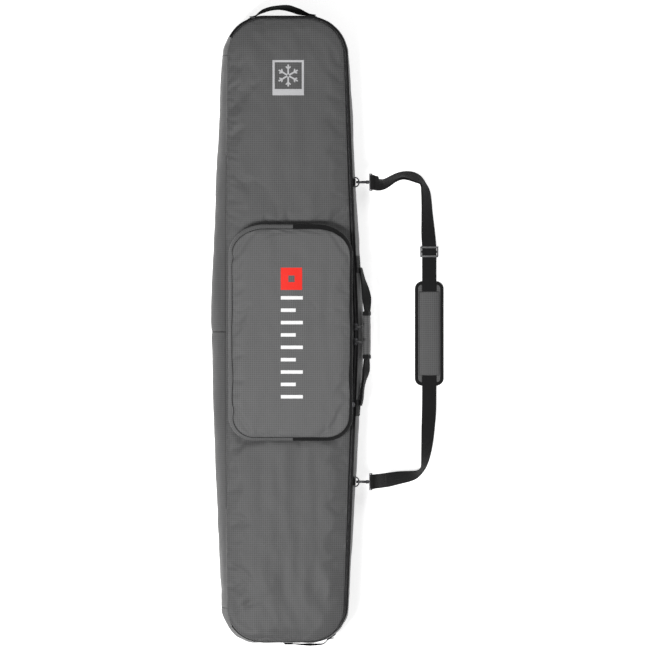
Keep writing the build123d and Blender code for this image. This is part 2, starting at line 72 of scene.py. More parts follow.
VIEW_WIDTH = 1.664        # width that the picture shows at the height OBJECT_PLANE
LENS, SENSOR = 400.0, 36.0
VIEW_CENTRE = (0.0935, 0.0128)
OBJECT_PLANE = 0.09
WORLD_STRENGTH = 0.38
FLOOR_GLOW = 0.55
FLOOR_SIZE, FLOOR_Z = 60, -0.0012


def set_inputs(node, values):
    """Sets a shader node's inputs by name."""
    for name, value in values.items():
        node.inputs[name].default_value = value


def make_camera():
    data = bpy.data.cameras.new("camera")
    data.lens, data.sensor_width = LENS, SENSOR
    camera = bpy.data.objects.new("camera", data)
    distance = VIEW_WIDTH / 2 / (SENSOR / 2 / LENS)
    camera.location = (*VIEW_CENTRE, OBJECT_PLANE + distance)
    data.clip_end = 100
    bpy.context.scene.collection.objects.link(camera)
    bpy.context.scene.camera = camera


def area_light(name, position, target, size, power):
    data = bpy.data.lights.new(name, "AREA")
    data.energy, data.size = power, size
    light = bpy.data.objects.new(name, data)
    light.location = position
    light.rotation_mode = "QUATERNION"
    light.rotation_quaternion = (Vector(target) - Vector(position)).to_track_quat("-Z", "Y")
    bpy.context.scene.collection.objects.link(light)


def make_stage():
    scene = bpy.context.scene
    scene.view_settings.view_transform = "Standard"
    world = bpy.data.worlds.new("studio")
    world.use_nodes = True
    set_inputs(world.node_tree.nodes["Background"], {"Color": (1, 1, 1, 1), "Strength": WORLD_STRENGTH})
    scene.world = world
    area_light("key", (-1.15, -1.1, 3.5), (0, 0, 0), 1.0, 140)
    area_light("fill", (1.7, 1.6, 4.2), (0, 0, 0), 2.0, 40)
    bpy.ops.mesh.primitive_plane_add(size=FLOOR_SIZE, location=(0, 0, FLOOR_Z))
    floor = bpy.context.object
    floor.name = "floor"
    material = bpy.data.materials.new("floor")
    material.use_nodes = True
    set_inputs(material.node_tree.nodes["Principled BSDF"],
               {"Base Color": (0.93, 0.93, 0.93, 1), "Roughness": 0.8,
                "Emission Color": (1, 1, 1, 1), "Emission Strength": FLOOR_GLOW})
    floor.data.materials.append(material)


make_camera()
make_stage()

# ---------------------------------------------------------------- materials


class Nodes:
    """Short calls for building a material's node tree."""

    def __init__(self, material):
        material.use_nodes = True
        self.tree = material.node_tree
        self.shader = self.tree.nodes["Principled BSDF"]

    def link(self, a, b):
        self.tree.links.new(a, b)

    def math(self, operation, a, b):
        node = self.tree.nodes.new("ShaderNodeMath")
        node.operation = operation
        for socket, value in zip(node.inputs, (a, b)):
            if isinstance(value, (int, float)):
                socket.default_value = value
            else:
                self.link(value, socket)
        return node.outputs[0]

    def uv(self):
        node = self.tree.nodes.new("ShaderNodeUVMap")
        node.uv_map = "metres"
        split = self.tree.nodes.new("ShaderNodeSeparateXYZ")
        self.link(node.outputs[0], split.inputs[0])
        return node.outputs[0], split.outputs[0], split.outputs[1]

    def noise(self, vector, scale, detail=2.0, stretch=(1, 1, 1)):
        mapping = self.tree.nodes.new("ShaderNodeMapping")
        mapping.inputs["Scale"].default_value = stretch
        self.link(vector, mapping.inputs[0])
        node = self.tree.nodes.new("ShaderNodeTexNoise")
        set_inputs(node, {"Scale": scale, "Detail": detail})
        self.link(mapping.outputs[0], node.inputs["Vector"])
        return node.outputs[0]

    def range(self, value, low, high, to_low=0.0, to_high=1.0):
        node = self.tree.nodes.new("ShaderNodeMapRange")
        set_inputs(node, {"From Min": low, "From Max": high, "To Min": to_low, "To Max": to_high})
        self.link(value, node.inputs["Value"])
        return node.outputs[0]

    def mix(self, factor, a, b):
        node = self.tree.nodes.new("ShaderNodeMix")
        node.data_type = "RGBA"
        self.link(factor, node.inputs["Factor"])
        for name, value in (("A", a), ("B", b)):
            socket = [s for s in node.inputs if s.name == name and s.type == "RGBA"][0]
            if isinstance(value, tuple):
                socket.default_value = (*value, 1)
            else:
                self.link(value, socket)
        return [s for s in node.outputs if s.type == "RGBA"][0]

    def lines(self, coordinate, pitch, half_width):
        """1 on the lines that repeat every pitch, 0 between them."""
        wave = self.math("PINGPONG", coordinate, pitch / 2)
        return self.range(wave, half_width * 0.5, half_width * 1.5, 1.0, 0.0)

    def bump(self, height, strength, distance, normal=None):
        node = self.tree.nodes.new("ShaderNodeBump")
        set_inputs(node, {"Strength": strength, "Distance": distance})
        self.link(height, node.inputs["Height"])
        if normal is not None:
            self.link(normal, node.inputs["Normal"])
        return node.outputs[0]


def set_shader(shader, roughness, sheen=0.0, metallic=0.0, specular=0.5):
    set_inputs(shader, {"Roughness": roughness, "Sheen Weight": sheen, "Sheen Roughness": 0.5,
                        "Metallic": metallic, "Specular IOR Level": specular})


RIPSTOP_PITCH = 5.5 * MM


def ripstop(name, base, line, roughness=0.62):
    """Plain weave with a raised square grid, and painted shade: darker and lighter clouds, long along the
    cloth, that stand in for soft light and shade over wrinkles.
    """
    material = bpy.data.materials.new(name)
    n = Nodes(material)
    vector, u, v = n.uv()
    grid = n.math("MAXIMUM", n.lines(u, RIPSTOP_PITCH, 0.45 * MM), n.lines(v, RIPSTOP_PITCH, 0.45 * MM))
    threads = n.math("ADD", n.lines(u, 0.9 * MM, 0.2 * MM), n.lines(v, 0.9 * MM, 0.2 * MM))
    # painted shade: these clouds darken and lighten the base colour in long bands, in place of the shading
    # of wrinkles; they also vary the roughness
    shade_and_gloss_clouds = n.noise(vector, 7.0, 4.0, (1.0, 0.35, 1.0))
    fine = n.noise(vector, 420.0, 2.0)
    dark = tuple(c * 0.87 for c in base)
    light = tuple(c * 1.13 for c in base)
    cloud_shaded = n.mix(n.range(shade_and_gloss_clouds, 0.35, 0.65), dark, light)
    speckled = n.mix(n.range(fine, 0.3, 0.7, 0.0, 0.25), cloud_shaded, line)
    n.link(n.mix(n.math("MULTIPLY", grid, 0.95), speckled, line), n.shader.inputs["Base Color"])
    weave = n.bump(threads, 0.15, 0.12 * MM)
    n.link(n.bump(grid, 0.35, 0.25 * MM, weave), n.shader.inputs["Normal"])
    n.link(n.range(shade_and_gloss_clouds, 0.3, 0.7, roughness - 0.05, roughness + 0.06), n.shader.inputs["Roughness"])
    set_shader(n.shader, roughness, 0.12, 0.0, 0.35)
    return material


def webbing(name, base, rib=1.5 * MM, roughness=0.78):
    """Webbing with zigzag ribs."""
    material = bpy.data.materials.new(name)
    n = Nodes(material)
    vector, u, v = n.uv()
    slant = n.math("ADD", v, n.math("PINGPONG", u, 4.0 * MM))
    ribs = n.range(n.math("PINGPONG", slant, rib / 2), 0.0, rib / 2)
    wear = n.noise(vector, 60.0, 3.0)
    light = tuple(c * 1.6 + 0.002 for c in base)
    worn = n.mix(n.range(wear, 0.45, 0.75, 0.0, 0.4), n.mix(ribs, base, light), light)
    n.link(worn, n.shader.inputs["Base Color"])
    n.link(n.bump(ribs, 0.55, 0.5 * MM), n.shader.inputs["Normal"])
    set_shader(n.shader, roughness, 0.04, 0.0, 0.16)
    return material


def moulded(name, base, roughness, metallic=0.0):
    """Metal or plastic with a fine grain and faint patches."""
    material = bpy.data.materials.new(name)
    n = Nodes(material)
    coordinates = n.tree.nodes.new("ShaderNodeTexCoord").outputs["Object"]
    patches = n.noise(coordinates, 90.0, 3.0)
    fine = n.noise(coordinates, 900.0, 2.0)
    light = tuple(min(1.0, c * 1.35 + 0.01) for c in base)
    n.link(n.mix(n.range(patches, 0.4, 0.7), base, light), n.shader.inputs["Base Color"])
    n.link(n.range(patches, 0.3, 0.7, roughness - 0.08, roughness + 0.1), n.shader.inputs["Roughness"])
    n.link(n.bump(fine, 0.15, 0.15 * MM), n.shader.inputs["Normal"])
    set_shader(n.shader, roughness, 0.0, metallic)
    return material


def printed(name, base):
    """Screen print, which lets the weave show through."""
    material = bpy.data.materials.new(name)
    n = Nodes(material)
    vector, u, v = n.uv()
    grid = n.math("MAXIMUM", n.lines(u, RIPSTOP_PITCH, 0.4 * MM), n.lines(v, RIPSTOP_PITCH, 0.4 * MM))
    worn = n.noise(vector, 300.0, 3.0)
    dark = tuple(c * 0.86 for c in base)
    n.link(n.mix(n.range(worn, 0.45, 0.75, 0.0, 0.7), base, dark), n.shader.inputs["Base Color"])
    n.link(n.bump(grid, 0.3, 0.2 * MM), n.shader.inputs["Normal"])
    set_shader(n.shader, 0.5, specular=0.2)
    return material


GREY = (0.0485, 0.0485, 0.049)
FABRIC = ripstop("ripstop_grey", GREY, (0.090, 0.090, 0.091))
# painted light: the same grey ripstop as the lid, made 1.24 times brighter to stand in for the stronger
# light on the raised pocket
POCKET_FABRIC_LIT = ripstop("ripstop_pocket_painted_light", tuple(c * 1.24 for c in GREY), (0.105, 0.105, 0.106))
# painted shade: the same grey ripstop as the lid, made darker to stand in for the weaker light on the steep
# gusset walls and the back
GUSSET_FABRIC_SHADED = ripstop("ripstop_gusset_painted_shade", tuple(c * 0.68 for c in GREY), (0.062, 0.062, 0.063))
LINING = ripstop("lining_black", (0.022, 0.022, 0.024), (0.03, 0.03, 0.032), 0.7)
WEBBING = webbing("webbing_black", (0.0042, 0.0042, 0.0044))
BINDING = webbing("binding_black", (0.0046, 0.0046, 0.0048), 1.0 * MM)
TAPE = webbing("zip_tape_black", (0.0042, 0.0042, 0.0044), 0.8 * MM, 0.85)
COIL = moulded("zip_coil_black", (0.013, 0.013, 0.014), 0.38)
THREAD = moulded("thread_dark", (0.03, 0.03, 0.031), 0.6)
METAL = moulded("gunmetal", (0.045, 0.045, 0.048), 0.38, 0.8)
RUBBER = moulded("puller_rubber", (0.02, 0.02, 0.021), 0.6)
PLASTIC = moulded("adjuster_plastic", (0.055, 0.055, 0.057), 0.42)
PRINT_GREY = printed("print_grey", (0.42, 0.42, 0.43))
PRINT_RED = printed("print_red", (0.68, 0.016, 0.008))
PRINT_WHITE = printed("print_white", (0.70, 0.70, 0.70))

# ---------------------------------------------------------------- mesh helpers


def make_object(name, verts, faces, uvs, material):
    """uvs holds one pair for each vertex, in metres along the cloth, or is None."""
    mesh = bpy.data.meshes.new(name)
    mesh.from_pydata([tuple(map(float, p)) for p in verts], [], [tuple(map(int, f)) for f in faces])
    layer = mesh.uv_layers.new(name="metres")
    if uvs is None:
        uvs = [(p[0], p[1]) for p in verts]
    corner_verts = np.zeros(len(mesh.loops), int)
    mesh.loops.foreach_get("vertex_index", corner_verts)
    layer.data.foreach_set("uv", np.asarray(uvs, float)[corner_verts].ravel())
    mesh.polygons.foreach_set("use_smooth", [True] * len(mesh.polygons))
    mesh.update()
    obj = bpy.data.objects.new(name, mesh)
    bpy.context.scene.collection.objects.link(obj)
    obj.data.materials.append(material)
    return obj


def grid_faces(rows, cols, offset=0, closed=False, flip=False):
    faces = []
    last = cols if closed else cols - 1
    for r in range(rows - 1):
        for c in range(last):
            d = (c + 1) % cols
            face = (r * cols + c, r * cols + d, (r + 1) * cols + d, (r + 1) * cols + c)
            faces.append(tuple(offset + i for i in (face[::-1] if flip else face)))
    return faces


def grid_object(name, points, uvs, material, closed=False, flip=False):
    rows, cols = points.shape[:2]
    return make_object(name, points.reshape(-1, 3), grid_faces(rows, cols, 0, closed, flip),
                       uvs.reshape(-1, 2), material)


def arc_length(line):
    steps = np.linalg.norm(np.diff(line, axis=0), axis=1)
    return np.concatenate([[0.0], np.cumsum(steps)])


def soft_abs(y, rounding):
    """The size of y, with a rounded corner at zero."""
    return np.sqrt(y * y + rounding * rounding) - rounding


def fbm(x, y, z=0.0):
    """Two layers of noise."""
    return noise.noise((x, y, z)) + 0.5 * noise.noise((2.1 * x, 2.1 * y, z + 7.3))


def falloff(distance, reach):
    return np.exp(-(distance / reach) ** 2)


def rise(distance, reach):
    return 1 - np.exp(-distance / reach)


def at_height(plan, z):
    """Points in plan with a height, which is one number or one for each point."""
    return np.concatenate([plan, np.broadcast_to(np.asarray(z, float), len(plan))[:, None]], 1)


def strip_uvs(across, along):
    """UVs in metres for a grid whose rows run along a strip."""
    return np.stack(np.broadcast_arrays(across[:, None] * MM, along[None] * MM), 2)


def plan_uvs(x, y):
    return np.stack([x, y], 2) * MM


def dress(piece, slot_name, carrier, *nodes):
    """Hides the CAD nodes that a piece stands for and parents it to the body that carries it; for a blend of
    two bodies it only bakes the piece's transform. slot_name, the finish, is not used.
    """
    if nodes:
        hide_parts(*nodes)
    if isinstance(carrier, str):
        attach(piece, carrier)
    else:
        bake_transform(piece)


def inflate(grid, pinned, pressure, growth, cap, frames=18, bending=0.4):
    """Cloth simulation of a grid in millimetres, held at pinned and a little too large for its frame."""
    rows, cols = grid.shape[:2]
    points = grid.reshape(-1, 3)
    mesh = bpy.data.meshes.new("cloth")
    mesh.from_pydata((points * MM).tolist(), [], grid_faces(rows, cols))
    cloth = bpy.data.objects.new("cloth", mesh)
    scene = bpy.context.scene
    scene.collection.objects.link(cloth)
    cloth.vertex_groups.new(name="pin").add(np.flatnonzero(pinned.ravel()).tolist(), 1.0, "REPLACE")
    modifier = cloth.modifiers.new("cloth", "CLOTH")
    settings = modifier.settings
    settings.quality = 4
    settings.mass = 0.2
    settings.tension_stiffness = settings.compression_stiffness = 20
    settings.shear_stiffness = 8
    settings.bending_stiffness = bending
    settings.use_pressure = True
    settings.uniform_pressure_force = pressure
    settings.vertex_group_mass = "pin"
    settings.shrink_min = -growth
    settings.effector_weights.gravity = 0
    modifier.collision_settings.use_collision = False
    modifier.point_cache.frame_end = frames
    for step in range(1, frames + 1):
        scene.frame_set(step)
    evaluated = cloth.evaluated_get(bpy.context.evaluated_depsgraph_get())
    moved = np.array([v.co for v in evaluated.data.vertices], float) / MM - points
    bpy.data.objects.remove(cloth)
    bpy.data.meshes.remove(mesh)
    scene.frame_set(1)
    length = np.linalg.norm(moved, axis=1, keepdims=True)
    moved *= np.minimum(1, cap / np.maximum(length, 1e-6))
    return (points + moved).reshape(grid.shape)


# the fold lines: the first body, the second body, and a point on each side of the fold; dress does not read
# them and only bakes the transform of a piece that is given one
TO_LID = ("bag", "lid", (-0.1555, 0, 0.1255), (-0.1475, 0, 0.1255))
TO_FLAP = ("lid", "flap", (0.0015, 0, 0.174), (0.0215, 0, 0.174))
TO_CARRY_HANDLE = ("bag", "carry_handle", (0.1785, 0, 0.112), (0.1885, 0, 0.112))
TO_NOSE_HANDLE = ("bag", "nose_handle", (0, 0.8035, 0.086), (0, 0.8145, 0.086))
TO_TAIL_HANDLE = ("bag", "tail_handle", (0, -0.8025, 0.086), (0, -0.8115, 0.086))

# ---------------------------------------------------------------- plan outlines, in millimetres

WAIST = -5.0
SIDE, ARC, END = 112, 26, 34       # points along half a long side, a corner and an end
NOSE_LEFT = SIDE
NOSE = NOSE_LEFT + ARC
NOSE_RIGHT = NOSE + END
RIGHT = NOSE_RIGHT + ARC
TAIL_RIGHT = RIGHT + 2 * SIDE
TAIL = TAIL_RIGHT + ARC
TAIL_LEFT = TAIL + END
LEFT_LOW = TAIL_LEFT + ARC
RING = LEFT_LOW + SIDE
ARC_HANDLE = 0.5523                # cubic handle that makes a quarter circle


def corner(a, c, b):
    t = np.linspace(0, 1, ARC, endpoint=False)[:, None]
    a, b, c = (np.array(p, float) for p in (a, b, c))
    ha = a + (c - a) * ARC_HANDLE
    hb = b + (c - b) * ARC_HANDLE
    return (1 - t) ** 3 * a + 3 * (1 - t) ** 2 * t * ha + 3 * (1 - t) * t * t * hb + t ** 3 * b


def ring_outline(left, right, nose, tail, nose_r, tail_r):
    """Closed outline from the waist's left side over the nose, down the right side and back."""

    def side(x_at, y0, y1, count):
        y = np.linspace(y0, y1, count, endpoint=False)
        return np.stack([x_at(y), y], 1)

    def end(x0, x1, y):
        x = np.linspace(x0, x1, END, endpoint=False)
        return np.stack([x, np.full(END, float(y))], 1)

    ln, rn, lt, rt = left(nose), right(nose), left(tail), right(tail)
    up, down = nose - nose_r, tail + tail_r
    return np.concatenate([
        side(left, WAIST, up, SIDE),
        corner((left(up), up), (ln, nose), (ln + nose_r, nose)),
        end(ln + nose_r, rn - nose_r, nose),
        corner((rn - nose_r, nose), (rn, nose), (right(up), up)),
        side(right, up, down, 2 * SIDE),
        corner((right(down), down), (rt, tail), (rt - tail_r, tail)),
        end(rt - tail_r, lt + tail_r, tail),
        corner((lt + tail_r, tail), (lt, tail), (left(down), down)),
        side(left, down, WAIST, SIDE),
    ])


def ring_normals(ring):
    """Unit normals in plan, pointing out of the ring."""
    along = np.roll(ring, -1, 0) - np.roll(ring, 1, 0)
    out = np.stack([-along[:, 1], along[:, 0]], 1)
    return out / np.linalg.norm(out, axis=1)[:, None]


def seam_left(y):
    return -160.0 + 4.4 * np.minimum(1.0, np.abs(y) / 700) ** 1.35


def zip_right(y):
    return 172 - 0.0402 * soft_abs(y - WAIST, 25)


def belly_left(y):
    return -198 + 0.00756 * soft_abs(y - WAIST, 8) ** 1.25


def belly_right(y):
    return 190.5 - 0.056 * soft_abs(y, 55)


def base_left(y):
    return -176 + 0.035 * soft_abs(y - WAIST, 20)


def base_right(y):
    return 168 - 0.045 * soft_abs(y - WAIST, 20)


BASE = ring_outline(base_left, base_right, 786, -785, 86, 76)
BELLY = ring_outline(belly_left, belly_right, 802, -800.5, 100, 90)
CENTRE = ring_outline(seam_left, zip_right, 796, -795, 94, 84)
CENTRE_OUT = ring_normals(CENTRE)


def zip_opening():
    """Width of black zip that shows between the two fabrics, for each point of the ring."""
    index = np.arange(RING)
    y = CENTRE[:, 1]
    width = 5.0 + 5.6 / (1 + (np.abs(y) / 500) ** 6)
    facing = CENTRE_OUT[:, 1]
    at_tail = 0.9 + 1.7 * np.clip((CENTRE[:, 0] - 20) / 60, 0, 1)
    width += (3.0 - width) * np.clip(facing, 0, 1) + (at_tail - width) * np.clip(-1.2 * facing, 0, 1)
    starts = CENTRE[:, 0] + 152
    share = np.clip(starts / 26, 0, 1)
    share = share * share * (3 - 2 * share)
    on_left = (index < NOSE_LEFT) | (index >= LEFT_LOW)
    return np.where(on_left, 0.0, width * share)


OPENING = zip_opening()
LID_EDGE = CENTRE - CENTRE_OUT * OPENING[:, None] / 2
RIM = CENTRE + CENTRE_OUT * OPENING[:, None] / 2

# ---------------------------------------------------------------- outer shell of the body

BASE_Z, RIM_Z, HEM_Z = 1.5, 125.9, 124.7
SHELL_ROWS = 34


def shell_wrinkles(x, y, v):
    """How far the gusset stands out from its smooth form, in millimetres."""
    ends = np.clip((np.abs(y) - 560) / 200, 0, 1)
    soft = 2.2 * fbm(x / 90, y / 150, v * 2.2)
    fine = 0.8 * fbm(x / 30 + 9, y / 34, v * 5)
    folds = 2.6 * ends * fbm(x / 40 + 3, y / 45, v * 3 + 5)
    handle = np.clip((x - 150) / 20, 0, 1) * np.exp(-((y + 20) / 165) ** 4)
    return soft + fine + folds + 2.6 * handle


def build_shell():
    v = np.linspace(0, 1, SHELL_ROWS)
    rows = []
    for share in v:
        plan = BASE * (1 - share) * (1 - 2 * share) + BELLY * 4 * share * (1 - share) \
            + RIM * share * (2 * share - 1)
        rows.append(at_height(plan, BASE_Z + (RIM_Z - BASE_Z) * share))
    grid = np.array(rows)
    out = at_height(ring_normals(BELLY), 0)
    fade = np.sin(np.pi * np.clip(v, 0, 1)) ** 0.6
    for r in range(SHELL_ROWS):
        for c in range(RING):
            x, y = grid[r, c, :2]
            grid[r, c] += out[c] * shell_wrinkles(x, y, v[r]) * fade[r]
    # seam puckers: the fabric is drawn in at the joins of the side gusset
    index = np.arange(RING)
    for join, depth in ((0, 2.6), (NOSE_LEFT, 1.0), (RIGHT, 1.0), (TAIL_RIGHT, 1.0), (LEFT_LOW, 1.0)):
        distance = np.minimum(np.abs(index - join), RING - np.abs(index - join))
        pull = depth * np.exp(-distance / 0.8)
        grid -= out[None] * pull[None, :, None] * fade[:, None, None]
    # the hem turns in over the tape
    hem = grid[-1].copy()
    hem[:, :2] += CENTRE_OUT * 0.9
    hem[:, 2] = HEM_Z
    return np.concatenate([grid, hem[None]])


SHELL = build_shell()


def grid_uvs(grid):
    """Arc length along the columns and down the rows, in metres."""
    across = arc_length(grid[len(grid) // 2])
    steps = np.linalg.norm(np.diff(grid, axis=0), axis=2)
    down = np.concatenate([np.zeros((1, grid.shape[1])), np.cumsum(steps, axis=0)])
    return np.stack([np.broadcast_to(across, grid.shape[:2]), down], 2) * MM


def mm_grid(name, grid, material, uvs=None, closed=False, flip=False):
    return grid_object(name, grid * MM, grid_uvs(grid) if uvs is None else uvs, material, closed, flip)


def columns(first, last):
    """Ring columns from first to last, both included, round the end of the ring if need be."""
    return np.arange(first, last + 1) % RING


PANELS = {
    "left_gusset_upper_fabric": (0, NOSE_LEFT, "left_gusset_upper"),
    "nose_gusset_fabric": (NOSE_LEFT, RIGHT, "nose_gusset"),
    "right_gusset_fabric": (RIGHT, TAIL_RIGHT, "right_gusset"),
    "tail_gusset_fabric": (TAIL_RIGHT, LEFT_LOW, "tail_gusset"),
    "left_gusset_lower_fabric": (LEFT_LOW, RING, "left_gusset_lower"),
}
for panel_name, (first, last, node) in PANELS.items():
    panel = mm_grid(panel_name, SHELL[:, columns(first, last)], GUSSET_FABRIC_SHADED)
    dress(panel, "ripstop", "bag", node)

# ---------------------------------------------------------------- grids inside an outline

EDGE_STEPS = np.array([0, 1.2, 2.6, 4.2, 6.0, 8.0, 10.2, 12.6, 15.4, 19, 24, 30, 37])


def rows_inside(chains, y_range, first, last, reach, arc_rows, middle_rows, edge, full_width, columns):
    """Rows from a left to a right border, close together at the round ends and at both borders.

    first and last are the two borders' X in the first and the last row."""
    bottom, top = y_range
    arc = np.sin(np.linspace(0, np.pi / 2, arc_rows))
    middle = np.linspace(bottom + reach, top - reach, middle_rows)
    y = np.concatenate([bottom + reach - reach * arc[::-1], middle[1:-1], top - reach + reach * arc])
    left, right = (np.interp(y, chain[:, 1], chain[:, 0]) for chain in chains)
    left[0], right[0] = first
    left[-1], right[-1] = last
    rows = []
    for x0, width in zip(left, right - left):
        near = edge * min(1.0, width / full_width)
        middle_x = np.linspace(near[-1], width - near[-1], columns)[1:-1]
        rows.append(x0 + np.concatenate([near, middle_x, (width - near)[::-1]]))
    x = np.array(rows)
    return x, np.broadcast_to(y[:, None], x.shape).copy()


def plan_grid(ring, columns=44, spacing=6.0):
    """Rows inside one of the bag's outlines."""
    chains = (np.concatenate([ring[TAIL_LEFT:], ring[:NOSE + 1]]), ring[NOSE_RIGHT:TAIL + 1][::-1])
    top, bottom = ring[NOSE:NOSE_RIGHT, 1].max(), ring[TAIL:TAIL_LEFT, 1].min()
    reach = 88.0
    return rows_inside(chains, (bottom, top), (ring[TAIL_LEFT, 0], ring[TAIL, 0]),
                       (ring[NOSE, 0], ring[NOSE_RIGHT, 0]), reach, 22,
                       int((top - bottom - 2 * reach) / spacing) + 1, EDGE_STEPS, 330, columns)


def edge_distance(x, y, ring):
    """Distance of each point to the closed outline, in plan."""
    points = np.stack([x.ravel(), y.ravel()], 1)
    best = np.full(len(points), 1e9)
    for a, ab in zip(ring, np.roll(ring, -1, 0) - ring):
        t = np.clip(((points - a) @ ab) / (ab ** 2).sum(), 0, 1)
        gap = points - (a + t[:, None] * ab)
        best = np.minimum(best, (gap ** 2).sum(1))
    return np.sqrt(best).reshape(x.shape)


def noise_field(x, y, sx, sy, seed=0.0):
    flat = [fbm(a / sx, b / sy, seed) for a, b in zip(x.ravel(), y.ravel())]
    return np.array(flat).reshape(x.shape)


# ---------------------------------------------------------------- back panel and lining

back_x, back_y = plan_grid(BASE, 22, 14.0)
back_d = edge_distance(back_x, back_y, BASE)
back_z = 0.3 + 1.2 * np.exp(-back_d / 9) + 0.25 * (1 + noise_field(back_x, back_y, 60, 90))
back = mm_grid("back_panel_fabric", np.stack([back_x, back_y, back_z], 2), GUSSET_FABRIC_SHADED,
               plan_uvs(back_x, back_y), flip=True)
dress(back, "ripstop", "bag", "back_panel")

LINING_INSET, LINING_INSET_TOP = 8.5, 5.0
LINING_FLOOR, LINING_LIP = 9.0, 123.4
tub = []
for v in np.linspace(0.075, 0.97, 16):
    row = np.round(v * (SHELL_ROWS - 1)).astype(int)
    inside = SHELL[row].copy()
    inside[:, :2] -= ring_normals(inside[:, :2]) * (LINING_INSET if v < 0.9 else LINING_INSET_TOP)
    inside[:, 2] = np.maximum(inside[:, 2], LINING_FLOOR)
    tub.append(inside)
tub.append(at_height(SHELL[-1][:, :2], LINING_LIP))
tub = np.array(tub)
lining = mm_grid("body_lining", tub, LINING, closed=True, flip=True)
dress(lining, "lining", "bag", "gusset_lining", "gusset_padding")

floor_x, floor_y = plan_grid(tub[0][:, :2], 22, 14.0)
floor_d = edge_distance(floor_x, floor_y, tub[0][:, :2])
floor_z = LINING_FLOOR - 0.6 * rise(floor_d, 12) + 0.7 * noise_field(floor_x, floor_y, 70, 110, 4.0) \
    * rise(floor_d, 30)
floor_lining = mm_grid("floor_lining", np.stack([floor_x, floor_y, floor_z], 2), LINING,
                       plan_uvs(floor_x, floor_y))
dress(floor_lining, "lining", "bag", "back_lining", "back_padding")

# ---------------------------------------------------------------- lid

LID_RIM_Z, LID_TOP_Z = 126.2, 133.4
POCKET = {"left": -152.0, "right": 163.0, "tail": -282.0, "nose": 269.0}
NOSE_CORNER, TAIL_CORNER = (92.0, 74.0), (66.0, 60.0)     # across and along the bag


def box_distance(x, y, left, right, low, high, radius):
    """Signed distance to a round-cornered rectangle, negative inside."""
    cx, cy = (left + right) / 2, (low + high) / 2
    qx = np.abs(x - cx) - (right - left) / 2 + radius
    qy = np.abs(y - cy) - (high - low) / 2 + radius
    return np.hypot(np.maximum(qx, 0), np.maximum(qy, 0)) + np.minimum(np.maximum(qx, qy), 0) - radius


def pocket_distance(x, y):
    return box_distance(x, y, *(POCKET[key] for key in ("left", "right", "tail", "nose")), 70.0)


def seam_puckers(along, distance, reach, pitch, seed):
    """Short creases across a seam, uneven in length and depth."""

    def wave(length, z):
        return np.array([noise.noise((a / length, seed, z)) for a in along.ravel()]).reshape(along.shape)

    return np.clip(0.5 + wave(70, 1.7), 0, 1.4) * wave(pitch, 9.1) * falloff(distance, reach)


CREASE_GAIN = 1.6
# creases pressed into the lid: start and end in plan, reach to each side, depth
CREASES = (
    ((-66, 792), (-60, 748), 6.0, 2.4),
    ((-146, -598), (-116, -614), 6.0, 2.8),
    ((-146, -655), (-120, -640), 6.0, 2.6),
    ((-142, -716), (-98, -697), 7.0, 2.8),
    ((-98, -697), (-40, -678), 10.0, 1.6),
    ((-152, 612), (-124, 566), 7.0, 2.2),
    ((-154, 478), (-124, 520), 7.0, 2.2),
    ((-154, 420), (-128, 384), 7.0, 2.0),
    ((-154, 700), (-128, 664), 7.0, 2.0),
    ((150, 330), (112, 352), 7.0, 1.8),
    ((150, -318), (104, -336), 7.0, 1.8),
)


def creases(x, y):
    total = np.zeros_like(x)
    for (ax, ay), (bx, by), reach, depth in CREASES:
        dx, dy = bx - ax, by - ay
        share = np.clip(((x - ax) * dx + (y - ay) * dy) / (dx ** 2 + dy ** 2), 0, 1)
        away = np.hypot(x - ax - share * dx, y - ay - share * dy)
        total -= CREASE_GAIN * depth * falloff(away, reach) * (1 - 0.5 * share)
    return total


def tail_fold(x, y):
    """Spare fabric that lies over the tail seam as a shallow crescent, higher than the lid before it."""
    line = -768 - 0.08 * (x + 128)
    width = np.clip((x + 140) / 16, 0, 1) * np.clip((-8 - x) / 50, 0, 1)
    return 4.5 * width / (1 + np.exp(np.clip((y - line) / 2.2, -20, 20)))


def lid_surface(x, y, d):
    roll = rise(d, 7.5)
    z = LID_RIM_Z + (LID_TOP_Z - LID_RIM_Z) * roll
    crown = 4.5 * (1 - falloff(d, 75))
    around_pocket = pocket_distance(x, y)
    bands = 3.4 * noise_field(x, y, 58, 420, 2.0)
    soft = 2.4 * noise_field(x + 0.25 * y, y, 95, 110, 11.0)
    fine = 0.8 * noise_field(x, y, 24, 60, 5.0)
    ends = np.clip((np.abs(y) - 480) / 240, 0, 1)
    drape = 3.4 * ends * noise_field(x + 0.5 * y, y, 46, 100, 21.0)
    relief = (bands + soft + fine + drape) * (1 - falloff(d, 22))
    puckers = np.where(x < 0, 4.0, 2.4) * seam_puckers(y + 0.2 * x, np.abs(d - 11), 13, 10.0, 3.0)
    dip = -1.3 * falloff(np.maximum(around_pocket, 0), 10) * (around_pocket > -6)
    return z + crown + relief + puckers * roll + dip + (creases(x, y) + tail_fold(x, y)) * roll


lid_x, lid_y = plan_grid(LID_EDGE, 46, 5.6)
lid_d = edge_distance(lid_x, lid_y, LID_EDGE)
lid_z = lid_surface(lid_x, lid_y, lid_d)
lid_z[lid_d < 0.05] = LID_RIM_Z


def rim_loop(rows, cols):
    """Indices of a grid's border, in order round it."""
    grid = np.arange(rows * cols).reshape(rows, cols)
    return np.concatenate([grid[0], grid[1:, -1], grid[-1, -2::-1], grid[-2:0:-1, 0]])


